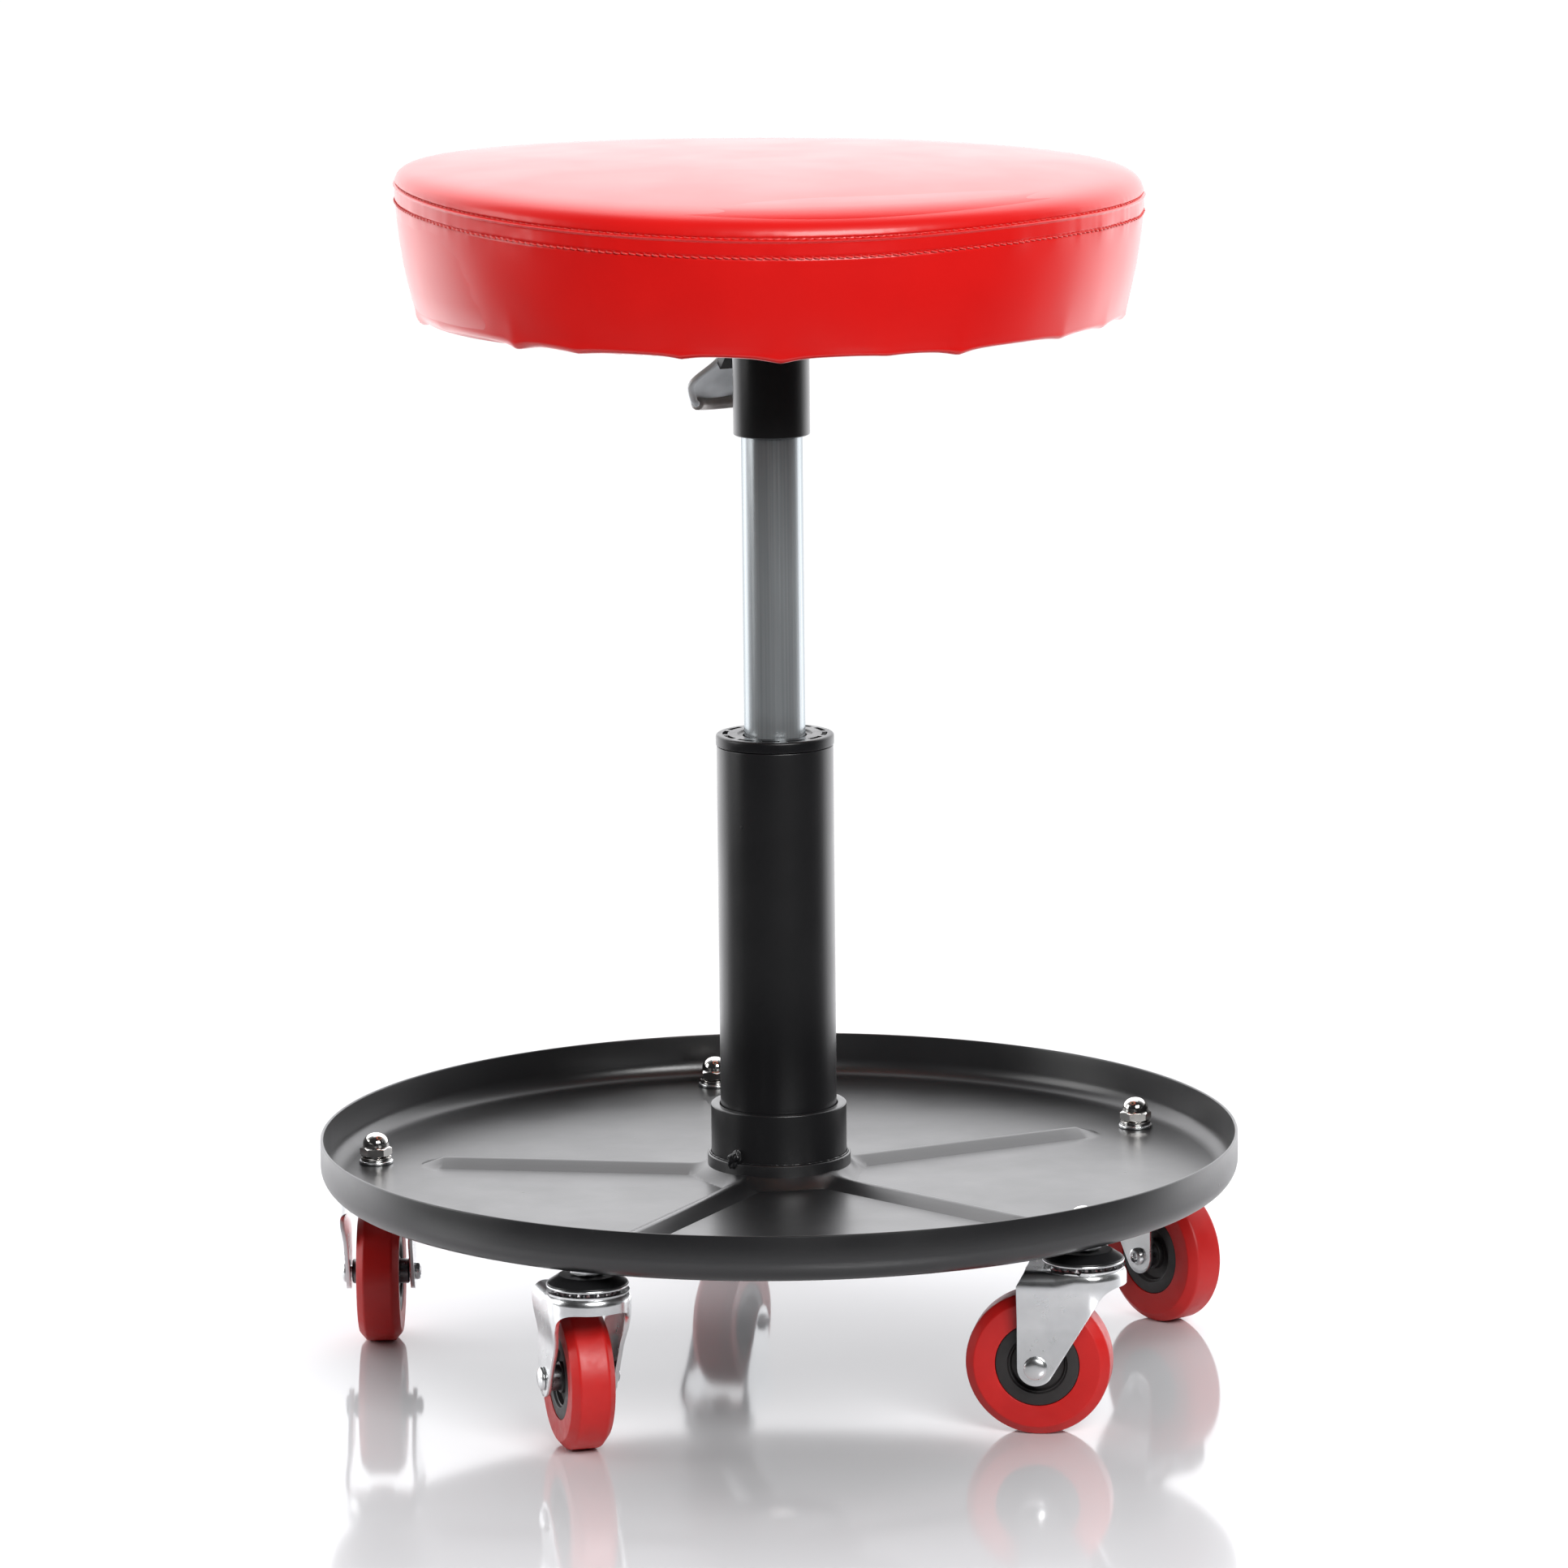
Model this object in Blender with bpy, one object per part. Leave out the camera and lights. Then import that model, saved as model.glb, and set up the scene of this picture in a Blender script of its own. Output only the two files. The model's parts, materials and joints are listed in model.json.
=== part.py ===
"""A rolling mechanic's stool: a round padded seat on a gas-lift column, in a tool tray on five casters.

Metres, +Z up. The floor is z = 0. The origin is the middle of the footprint, and the column stands a
little in front of it, because the rear caster trails out past the tray.
"""

import math

import bmesh
import bpy
from mathutils import Matrix, Vector

# --- Driving dimensions, in metres and degrees ---------------------------------------------------

GAP = 0.0003  # left between pieces that touch
COLUMN_Y = -0.0138  # the column's axis, forward of the origin

TRAY_RADIUS = 0.2113
TRAY_SHEET = 0.0015
TRAY_FLOOR_Z = 0.0891  # upper face of the floor
TRAY_RIM_Z = 0.1098
TRAY_CORNER_RADIUS = 0.010
TRAY_NECK_RADIUS = 0.0330
TRAY_NECK_Z = 0.0995
RIB_START, RIB_END = 0.036, 0.168
RIB_WIDTH, RIB_HEIGHT = 0.020, 0.0042

COLLAR_RADIUS, COLLAR_BORE = 0.0312, 0.0271
COLLAR_BOTTOM_Z, COLLAR_TOP_Z = 0.0740, 0.1225
COLUMN_RADIUS, COLUMN_WALL = 0.02675, 0.0022
COLUMN_BOTTOM_Z, COLUMN_TOP_Z = 0.0760, 0.2897
BUSH_TOP_Z, BUSH_BORE, BUSH_DEPTH = 0.2950, 0.0146, 0.040
BEARING_HEIGHT, BEARING_RADIUS = 0.005, 0.011

CYLINDER_RADIUS, CYLINDER_WALL = 0.0140, 0.0020
CYLINDER_BOTTOM_Z, CYLINDER_TOP_Z = 0.2050, 0.4680
ROD_RADIUS, ROD_STUD_RADIUS = 0.0050, 0.0040
PISTON_RADIUS, PISTON_HEIGHT = 0.0114, 0.010
VALVE_PIN_RADIUS = 0.0030

SLEEVE_RADIUS, SLEEVE_BORE = 0.0175, 0.0144
SLEEVE_BOTTOM_Z = 0.4326
PLATE_SIDE, PLATE_SHEET, PLATE_BOTTOM_Z = 0.150, 0.0025, 0.4862
BOLT_SPACING, BOLT_RADIUS = 0.110, 0.0030
BOARD_RADIUS, BOARD_BOTTOM_Z, BOARD_THICKNESS = 0.156, 0.4890, 0.012
COVER_THICKNESS = 0.0016
SEAT_RADIUS, SEAT_TOP_Z = 0.1695, 0.5590
SEAT_SEAM_Z, SEAT_UNDERSIDE_Z = 0.5415, 0.4871

LEVER_ANGLE = 107.0  # direction that the lever points, from +X
LEVER_Z = 0.4766  # middle of its level part
LEVER_PIVOT = 0.023  # from the column's axis
LEVER_WIDTH, LEVER_THICKNESS = 0.012, 0.0048
LEVER_SLOPE = 48.0
GRIP_LENGTH, GRIP_HALF_WIDTH, GRIP_SHEET = 0.039, 0.0155, 0.002

CASTER_CIRCLE = 0.1896  # from the column's axis to each swivel axis
CASTER_TRAIL = 0.0198  # from the swivel axis to the axle
WHEEL_RADIUS, WHEEL_WIDTH, TREAD_WIDTH = 0.0325, 0.020, 0.0136
HUB_RADIUS, HUB_RECESS_RADIUS = 0.0190, 0.0125
FORK_TOP_Z, FORK_SHEET, CROWN_RADIUS = 0.0768, 0.0020, 0.0193
LEG_OUTSIDE_TOP, LEG_OUTSIDE = 0.0186, 0.0152  # half widths at the crown and at the axle
LEG_END_RADIUS = 0.0082
AXLE_RADIUS, AXLE_HEAD_RADIUS = 0.0030, 0.0053
STEM_RADIUS, STEM_HOLE_RADIUS = 0.0040, 0.0045
RACE_RADIUS, RACE_TOP_Z, RACE_RIM_Z = 0.0179, 0.0838, 0.0785
NUT_FLATS, NUT_TOP_Z = 0.0130, 0.1034

# Each caster's place round the tray, and the way its wheel trails as the stool stands, from +X.
CASTERS = {
    "rear": (90.0, 60.7),
    "left": (162.0, 79.7),
    "front_left": (234.0, 96.0),
    "front_right": (306.0, 161.9),
    "right": (18.0, -60.6),
}

# Facets round each kind of turned piece.
SEAT_FACETS, TRAY_FACETS, COLUMN_FACETS, TYRE_FACETS = 36, 50, 24, 32
HIDDEN_FACETS, SMALL_FACETS, TINY_FACETS = 24, 16, 12

# Finishes: colour, roughness, metallic.
BLACK_COAT = ((0.022, 0.022, 0.024), 0.42, 0.0)
BLACK_PLASTIC = ((0.02, 0.02, 0.022), 0.35, 0.0)
DARK_PLASTIC = ((0.045, 0.043, 0.043), 0.5, 0.0)
ZINC = ((0.62, 0.64, 0.65), 0.32, 1.0)
BRIGHT_ZINC = ((0.80, 0.81, 0.82), 0.16, 1.0)
BEARING_STEEL = ((0.55, 0.55, 0.56), 0.25, 1.0)
RED_VINYL = ((0.78, 0.018, 0.012), 0.22, 0.0)
RED_RUBBER = ((0.62, 0.022, 0.020), 0.5, 0.0)
FOAM = ((0.83, 0.77, 0.58), 0.9, 0.0)
PLYWOOD = ((0.56, 0.40, 0.24), 0.75, 0.0)


# --- Modelling helpers -----------------------------------------------------------------------------


def new_object(name, mesh_maker, parent=None):
    """An object whose mesh is filled by mesh_maker(bm), with its faces pointing outwards."""
    bm = bmesh.new()
    mesh_maker(bm)
    bmesh.ops.recalc_face_normals(bm, faces=bm.faces)
    mesh = bpy.data.meshes.new(name)
    bm.to_mesh(mesh)
    bm.free()
    return placed(name, mesh, parent)


def placed(name, mesh, parent=None):
    """An object that shows a mesh, under a parent."""
    obj = bpy.data.objects.new(name, mesh)
    bpy.context.scene.collection.objects.link(obj)
    obj.parent = parent
    return obj


def empty(name, location, angle=0.0, parent=None):
    """A guide at a joint's axis, turned about Z by an angle in degrees."""
    guide = bpy.data.objects.new(name, None)
    bpy.context.scene.collection.objects.link(guide)
    guide.parent = parent
    guide.location = location
    guide.rotation_euler = (0, 0, math.radians(angle))
    return guide


def finish(obj, look):
    """Gives an object its own material and smooth shading between its sharp edges."""
    colour, roughness, metallic = look
    material = bpy.data.materials.new(obj.name)
    material.use_nodes = True
    shader = material.node_tree.nodes["Principled BSDF"]
    shader.inputs["Base Color"].default_value = (*colour, 1.0)
    shader.inputs["Roughness"].default_value = roughness
    shader.inputs["Metallic"].default_value = metallic
    if not obj.data.materials:
        obj.data.materials.append(None)
    obj.material_slots[0].link = "OBJECT"
    obj.material_slots[0].material = material
    obj.data.shade_smooth()
    obj.data.set_sharp_from_angle(angle=math.radians(35))
    return obj


def arc(centre, radius, start, end, steps):
    """Points (a, b) on an arc, from one angle to another in degrees."""
    angles = [math.radians(start + (end - start) * i / steps) for i in range(steps + 1)]
    return [(centre[0] + radius * math.cos(a), centre[1] + radius * math.sin(a)) for a in angles]


def spin_profile(bm, profile, facets, closed=True, phase=0.0):
    """Turns a profile of (radius, height) points about Z. An open profile ends on the axis."""
    turn = Matrix.Rotation(phase, 4, "Z")
    rows = [bm.verts.new(turn @ Vector((radius, 0, height))) for radius, height in profile]
    pairs = list(zip(rows, rows[1:] + rows[:1]))
    edges = [bm.edges.new(pair) for pair in (pairs if closed else pairs[:-1])]
    bmesh.ops.spin(
        bm, geom=rows + edges, cent=(0, 0, 0), axis=(0, 0, 1), dvec=(0, 0, 0),
        angle=math.tau, steps=facets, use_merge=True, use_duplicate=False,
    )
    bmesh.ops.remove_doubles(bm, verts=bm.verts, dist=1e-6)


def turned(name, profile, facets, parent=None, closed=True, phase=0.0):
    return new_object(name, lambda bm: spin_profile(bm, profile, facets, closed, phase), parent)


def cylinder_profile(radius, bottom, top):
    """An open profile, for a plain round bar."""
    return [(0, bottom), (radius, bottom), (radius, top), (0, top)]


def ring_profile(bore, radius, bottom, top):
    """A closed profile, for a plain ring or tube."""
    return [(bore, bottom), (radius, bottom), (radius, top), (bore, top)]


def extrude_outline(bm, outline, low, high, place):
    """Extrudes an outline of (a, b) points from low to high; place(a, b, depth) gives each point."""
    near = [bm.verts.new(place(a, b, low)) for a, b in outline]
    face = bm.faces.new(near)
    grown = bmesh.ops.extrude_face_region(bm, geom=[face])
    shift = Vector(place(0, 0, high)) - Vector(place(0, 0, low))
    moved = [item for item in grown["geom"] if isinstance(item, bmesh.types.BMVert)]
    bmesh.ops.translate(bm, verts=moved, vec=shift)


def upright(a, b, depth):
    """An outline that lies flat, extruded upwards."""
    return (a, b, depth)


def sideways(a, b, depth):
    """An outline in the XZ plane, extruded along Y."""
    return (a, depth, b)


def lengthways(a, b, depth):
    """An outline in the YZ plane, extruded along X."""
    return (depth, a, b)


def prism(name, outline, low, high, place=upright, parent=None):
    return new_object(name, lambda bm: extrude_outline(bm, outline, low, high, place), parent)


def combine(obj, other, operation):
    """Adds or takes away another object's shape, and hides that object."""
    boolean = obj.modifiers.new(f"{operation.lower()} {other.name}", "BOOLEAN")
    boolean.operation = operation
    boolean.object = other
    other.hide_render = True
    other.display_type = "WIRE"


def baked_mesh(obj):
    """The mesh that an object's modifiers give, so that several objects can share it."""
    bpy.context.view_layer.update()
    graph = bpy.context.evaluated_depsgraph_get()
    mesh = bpy.data.meshes.new_from_object(obj.evaluated_get(graph))
    helpers = [modifier.object for modifier in obj.modifiers if modifier.type == "BOOLEAN"]
    for helper in [*helpers, obj]:
        bpy.data.objects.remove(helper)
    return mesh


def bake_in_place(obj):
    """Replaces an object by one whose booleans are done."""
    name, parent = obj.name, obj.parent
    mesh = baked_mesh(obj)
    mesh.name = name
    return placed(name, mesh, parent)


def hexagon(flats):
    """A hexagon's corners, with its flats facing along Y."""
    radius = flats / 2 / math.cos(math.pi / 6)
    return arc((0, 0), radius, 0, 300, 5)


# --- Base: tray, collar and column -----------------------------------------------------------------


def tray_profile():
    """The pressed dish: wall, rounded corner, floor, and the neck turned up round the collar."""
    inner_wall = TRAY_RADIUS - TRAY_SHEET
    floor_below = TRAY_FLOOR_Z - TRAY_SHEET
    neck_bore = TRAY_NECK_RADIUS - TRAY_SHEET
    centre = (TRAY_RADIUS - TRAY_CORNER_RADIUS, floor_below + TRAY_CORNER_RADIUS)
    outside = arc(centre, TRAY_CORNER_RADIUS, 0, -90, 2)
    inside = arc(centre, TRAY_CORNER_RADIUS - TRAY_SHEET, -90, 0, 2)
    boss_foot, boss_rise = 0.0085, 0.0035
    under_neck = [
        (TRAY_NECK_RADIUS + boss_foot, floor_below),
        (neck_bore, floor_below + boss_rise),
        (neck_bore, TRAY_NECK_Z),
    ]
    over_neck = [
        (TRAY_NECK_RADIUS, TRAY_NECK_Z),
        (TRAY_NECK_RADIUS, TRAY_FLOOR_Z + boss_rise),
        (TRAY_NECK_RADIUS + boss_foot, TRAY_FLOOR_Z),
    ]
    rim = [(inner_wall, TRAY_RIM_Z), (TRAY_RADIUS, TRAY_RIM_Z)]
    return outside + under_neck + over_neck + inside + rim


def make_rib(angle):
    """A raised rib, tapered to the floor on its sides and at its outer end."""
    foot = TRAY_FLOOR_Z - TRAY_SHEET / 2
    top = TRAY_FLOOR_Z + RIB_HEIGHT
    flat = RIB_WIDTH / 2 - RIB_HEIGHT

    def fill(bm):
        corners = [
            (RIB_START, -RIB_WIDTH / 2, foot), (RIB_END, -RIB_WIDTH / 2, foot),
            (RIB_END, RIB_WIDTH / 2, foot), (RIB_START, RIB_WIDTH / 2, foot),
            (RIB_START, -flat, top), (RIB_END - 2 * RIB_HEIGHT, -flat, top),
            (RIB_END - 2 * RIB_HEIGHT, flat, top), (RIB_START, flat, top),
        ]
        turn = Matrix.Rotation(math.radians(angle), 4, "Z")
        points = [bm.verts.new(turn @ Vector(corner)) for corner in corners]
        sides = [(0, 1, 2, 3), (4, 5, 6, 7), (0, 1, 5, 4), (1, 2, 6, 5), (2, 3, 7, 6), (3, 0, 4, 7)]
        for side in sides:
            bm.faces.new([points[i] for i in side])

    return new_object("rib", fill)


def make_tray(column):
    tray = turned("tray", tray_profile(), TRAY_FACETS)
    for angle, _ in CASTERS.values():
        combine(tray, make_rib(angle), "UNION")
    for angle, _ in CASTERS.values():
        hole = turned("hole", cylinder_profile(STEM_HOLE_RADIUS, 0.08, 0.10), TINY_FACETS, closed=False)
        hole.location = swivel_place(angle)
        combine(tray, hole, "DIFFERENCE")
    tray = bake_in_place(tray)
    tray.parent = column
    finish(tray, BLACK_COAT)


def make_column(column):
    collar = ring_profile(COLLAR_BORE, COLLAR_RADIUS, COLLAR_BOTTOM_Z, COLLAR_TOP_Z)
    finish(turned("tray_collar", collar, COLUMN_FACETS, column), BLACK_COAT)

    inside = COLUMN_RADIUS - COLUMN_WALL
    floor = COLUMN_BOTTOM_Z + 0.003
    hole = ROD_STUD_RADIUS + 0.0005
    tube = [
        (hole, COLUMN_BOTTOM_Z), (COLUMN_RADIUS, COLUMN_BOTTOM_Z), (COLUMN_RADIUS, COLUMN_TOP_Z),
        (inside, COLUMN_TOP_Z), (inside, floor), (hole, floor),
    ]
    finish(turned("column_tube", tube, COLUMN_FACETS, column), BLACK_COAT)

    seat = COLUMN_TOP_Z + GAP
    edge = 0.0012
    bush = [
        (BUSH_BORE, seat - BUSH_DEPTH), (inside - GAP, seat - BUSH_DEPTH), (inside - GAP, seat),
        (COLUMN_RADIUS + GAP, seat), (COLUMN_RADIUS + GAP, BUSH_TOP_Z - edge),
        (COLUMN_RADIUS - edge, BUSH_TOP_Z), (BUSH_BORE, BUSH_TOP_Z),
    ]
    finish(turned("column_bush", bush, COLUMN_FACETS, column), BLACK_PLASTIC)

    rest = floor + GAP
    bearing = ring_profile(hole, BEARING_RADIUS, rest, rest + BEARING_HEIGHT)
    finish(turned("thrust_bearing", bearing, SMALL_FACETS, column), BEARING_STEEL)


# --- Gas spring ----------------------------------------------------------------------------------------


def make_gas_spring(column):
    """The rod stands on the bearing; the cylinder slides up and down it with the seat."""
    shoulder = COLUMN_BOTTOM_Z + 0.003 + BEARING_HEIGHT + 2 * GAP
    end_wall, top_wall = 0.005, 0.008
    piston_bottom = CYLINDER_BOTTOM_Z + end_wall + 0.0022
    piston_top = piston_bottom + PISTON_HEIGHT
    foot_radius, foot_top = 0.0065, COLUMN_BOTTOM_Z - GAP
    rod = [
        (0, foot_top - 0.0024), (foot_radius, foot_top - 0.0024), (foot_radius, foot_top),
        (ROD_STUD_RADIUS, foot_top), (ROD_STUD_RADIUS, shoulder), (ROD_RADIUS, shoulder),
        (ROD_RADIUS, piston_bottom), (PISTON_RADIUS, piston_bottom), (PISTON_RADIUS, piston_top),
        (0, piston_top),
    ]
    finish(turned("piston_rod", rod, SMALL_FACETS, column, closed=False), BRIGHT_ZINC)

    inside = CYLINDER_RADIUS - CYLINDER_WALL
    low_bore, high_bore = ROD_RADIUS + 0.0005, VALVE_PIN_RADIUS + 0.0005
    cylinder = [
        (low_bore, CYLINDER_BOTTOM_Z), (CYLINDER_RADIUS, CYLINDER_BOTTOM_Z),
        (CYLINDER_RADIUS, CYLINDER_TOP_Z), (high_bore, CYLINDER_TOP_Z),
        (high_bore, CYLINDER_TOP_Z - top_wall), (inside, CYLINDER_TOP_Z - top_wall),
        (inside, CYLINDER_BOTTOM_Z + end_wall), (low_bore, CYLINDER_BOTTOM_Z + end_wall),
    ]
    finish(turned("gas_cylinder", cylinder, COLUMN_FACETS, column), ZINC)

    play, dome = 0.0005, 0.0012  # under the lever, and the height of the pin's rounded tip
    top = LEVER_Z - LEVER_THICKNESS / 2 - play
    head = CYLINDER_TOP_Z - top_wall - GAP
    flange_radius, flange, tail = 0.0052, 0.002, 0.008
    pin = [
        (0, head - tail), (VALVE_PIN_RADIUS, head - tail), (VALVE_PIN_RADIUS, head - flange),
        (flange_radius, head - flange), (flange_radius, head), (VALVE_PIN_RADIUS, head),
        (VALVE_PIN_RADIUS, top - dome), (VALVE_PIN_RADIUS * 0.7, top - dome * 0.35),
        (VALVE_PIN_RADIUS * 0.2, top), (0, top),
    ]
    finish(turned("release_pin", pin, TINY_FACETS, column, closed=False), BRIGHT_ZINC)


# --- Lever ---------------------------------------------------------------------------------------------


def band_outline(path, thickness):
    """The outline of a bent bar of even thickness, from its middle line of (a, b) points."""
    points = [Vector(point) for point in path]
    runs = [(end - start).normalized() for start, end in zip(points, points[1:])]
    upper, lower = [], []
    for i, point in enumerate(points):
        before, after = runs[max(i - 1, 0)], runs[min(i, len(runs) - 1)]
        middle = (before + after).normalized()
        normal = Vector((-middle.y, middle.x))
        reach = thickness / 2 / middle.dot(after)
        upper.append(tuple(point + normal * reach))
        lower.append(tuple(point - normal * reach))
    return lower + upper[::-1]


def make_lever(guide):
    """The arm presses the pin with its inner end when the grip outside the pivot is pulled up."""
    slope = math.radians(LEVER_SLOPE)
    bend = Vector((0.0300, LEVER_Z - 0.0030))
    along = Vector((math.cos(slope), -math.sin(slope)))
    outward = Vector((math.sin(slope), math.cos(slope)))
    path = [(-0.005, LEVER_Z), (LEVER_PIVOT + 0.003, LEVER_Z), tuple(bend), tuple(bend + along * 0.0185)]
    outline = band_outline(path, LEVER_THICKNESS)
    half = LEVER_WIDTH / 2
    arm = prism("lever_arm", outline, -half, half, sideways, guide)
    boss = prism("boss", arc((LEVER_PIVOT, LEVER_Z), 0.0052, 0, 330, 11), -half, half, sideways, guide)
    hole_circle = arc((LEVER_PIVOT, LEVER_Z), 0.0025, 0, 330, 11)
    hole = prism("pivot hole", hole_circle, -2 * half, 2 * half, sideways, guide)
    combine(arm, boss, "UNION")
    combine(arm, hole, "DIFFERENCE")
    finish(bake_in_place(arm), BLACK_PLASTIC)

    pin = prism(
        "lever_pin", arc((LEVER_PIVOT, LEVER_Z), 0.0020, 0, 330, 11), -half - 0.0045, half + 0.0045,
        sideways, guide,
    )
    finish(pin, BRIGHT_ZINC)

    rows, columns = 8, 6
    standoff, dish_depth = 0.0009, 0.0045  # grip above the arm, and how deep it is dished

    def fan(bm):
        grid = []
        for i in range(rows + 1):
            u = i / rows
            half_width = GRIP_HALF_WIDTH * (0.45 + 0.55 * min(1.0, 1.35 * u)) * math.sqrt(1 - 0.45 * u**6)
            row = []
            for j in range(columns + 1):
                v = 2 * j / columns - 1
                round_end = 0.006 * v * v * u**3
                dish = dish_depth * (v * v * u + max(0.0, u - 0.7) ** 2 / 0.09)
                centre = bend + along * (0.002 + GRIP_LENGTH * u - round_end)
                centre += outward * (LEVER_THICKNESS / 2 + standoff - dish)
                row.append(bm.verts.new((centre.x, half_width * v, centre.y)))
            grid.append(row)
        for low, high in zip(grid, grid[1:]):
            for j in range(columns):
                bm.faces.new((low[j], low[j + 1], high[j + 1], high[j]))

    grip = new_object("lever_grip", fan, guide)
    if grip.data.polygons[0].normal.z < 0:
        grip.data.flip_normals()
    solid = grip.modifiers.new("sheet", "SOLIDIFY")
    solid.thickness = GRIP_SHEET
    solid.offset = 1.0
    solid.use_even_offset = True
    finish(bake_in_place(grip), ZINC)


# --- Seat ----------------------------------------------------------------------------------------------


def cover_outside():
    """The cushion's outer outline, from the hem under the board, up the side and over the crown."""
    return [
        (0.1360, SEAT_UNDERSIDE_Z), (0.1575, SEAT_UNDERSIDE_Z), (0.1612, SEAT_UNDERSIDE_Z + 0.0025),
        (SEAT_RADIUS, 0.5330), (SEAT_RADIUS, SEAT_SEAM_Z), (0.1660, 0.5482), (0.1580, 0.5528),
        (0.1300, 0.5564), (0.0300, SEAT_TOP_Z), (0, SEAT_TOP_Z),
    ]


def inset_outline(outline, depth):
    """The outline moved inwards by an even depth; it ends on the axis."""
    points = [Vector(point) for point in outline]
    runs = [(end - start).normalized() for start, end in zip(points, points[1:])]
    inset = []
    for i, point in enumerate(points):
        before, after = runs[max(i - 1, 0)], runs[min(i, len(runs) - 1)]
        middle = (before + after).normalized()
        normal = Vector((-middle.y, middle.x))
        inset.append(tuple(point + normal * depth / middle.dot(after)))
    return inset


def make_seat(column):
    outside = cover_outside()
    inside = inset_outline(outside, COVER_THICKNESS)
    cover = turned("seat_cover", outside[::-1] + inside, SEAT_FACETS, column, closed=False)
    finish(cover, RED_VINYL)

    board_top = BOARD_BOTTOM_Z + BOARD_THICKNESS
    foam_bottom = board_top + GAP
    skin = inset_outline(outside, COVER_THICKNESS + 0.0012)
    above = [point for point in skin if point[1] > foam_bottom]
    below = skin[len(skin) - len(above) - 1]
    share = (foam_bottom - below[1]) / (above[0][1] - below[1])
    edge = below[0] + share * (above[0][0] - below[0])
    foam = [(0, foam_bottom), (edge, foam_bottom)] + above
    finish(turned("seat_foam", foam, HIDDEN_FACETS, column, closed=False), FOAM)

    board_profile = cylinder_profile(BOARD_RADIUS, BOARD_BOTTOM_Z, board_top)
    board = turned("seat_board", board_profile, SEAT_FACETS, column, closed=False)
    half, trim = PLATE_SIDE / 2, 0.018
    corners = [(1, 1), (-1, 1), (-1, -1), (1, -1)]
    outline = []
    for x, y in corners:
        cut = [(half * x, (half - trim) * y), ((half - trim) * x, half * y)]
        outline += cut if x * y > 0 else cut[::-1]
    plate_top = PLATE_BOTTOM_Z + PLATE_SHEET
    plate = prism("seat_plate", outline, PLATE_BOTTOM_Z, plate_top, upright, column)

    spots = [(BOLT_SPACING / 2 * x, BOLT_SPACING / 2 * y) for x, y in corners]
    hole_radius = BOLT_RADIUS + 0.0004
    for x, y in spots:
        for piece, low, high in ((board, 0.480, board_top - 0.002), (plate, 0.480, 0.4888)):
            profile = cylinder_profile(hole_radius, low, high)
            hole = turned("hole", profile, TINY_FACETS, column, closed=False)
            hole.location = (x, y, 0)
            combine(piece, hole, "DIFFERENCE")
    for side in (-1, 1):
        near = side * (LEVER_WIDTH / 2 + 0.0006)
        far = side * (LEVER_WIDTH / 2 + 0.0026)
        span = (LEVER_PIVOT - 0.0045, LEVER_PIVOT + 0.0050)
        bottom, top = LEVER_Z - 0.0046, PLATE_BOTTOM_Z + 0.001
        outline = [(span[0], bottom), (span[1], bottom), (span[1], top), (span[0], top)]
        ear = prism("ear", outline, min(near, far), max(near, far), sideways, column)
        hole_circle = arc((LEVER_PIVOT, LEVER_Z), 0.0024, 0, 330, 11)
        hole = prism("ear hole", hole_circle, min(near, far) - 0.001, max(near, far) + 0.001, sideways)
        hole.parent = column
        for piece, operation in ((ear, "UNION"), (hole, "DIFFERENCE")):
            piece.rotation_euler = (0, 0, math.radians(LEVER_ANGLE))
            combine(plate, piece, operation)
    finish(bake_in_place(board), PLYWOOD)
    finish(bake_in_place(plate), BLACK_COAT)

    tube = ring_profile(SLEEVE_BORE, SLEEVE_RADIUS, SLEEVE_BOTTOM_Z, PLATE_BOTTOM_Z - GAP)
    sleeve = turned("seat_sleeve", tube, COLUMN_FACETS, column)
    slot_half = LEVER_WIDTH / 2 + 0.0008
    outline = [(0, -slot_half), (0.03, -slot_half), (0.03, slot_half), (0, slot_half)]
    slot = prism("slot", outline, LEVER_Z - 0.0046, PLATE_BOTTOM_Z + 0.01, upright, column)
    slot.rotation_euler = (0, 0, math.radians(LEVER_ANGLE))
    combine(sleeve, slot, "DIFFERENCE")
    finish(bake_in_place(sleeve), BLACK_COAT)

    head_height = 0.0040
    head_top = PLATE_BOTTOM_Z - GAP
    for number, (x, y) in enumerate(spots, start=1):
        bolt = prism(f"seat_bolt_{number}", hexagon(0.010), head_top - head_height, head_top, upright, column)
        shank = turned(
            "shank", cylinder_profile(BOLT_RADIUS, head_top - 0.001, board_top - 0.0025), TINY_FACETS,
            column, closed=False,
        )
        combine(bolt, shank, "UNION")
        bolt = bake_in_place(bolt)
        bolt.location = (x, y, 0)
        finish(bolt, BRIGHT_ZINC)


# --- Casters -------------------------------------------------------------------------------------------


def swivel_place(angle):
    """Where a caster's swivel axis stands, from the column's axis."""
    turn = math.radians(angle)
    return (CASTER_CIRCLE * math.cos(turn), CASTER_CIRCLE * math.sin(turn), 0)


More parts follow.
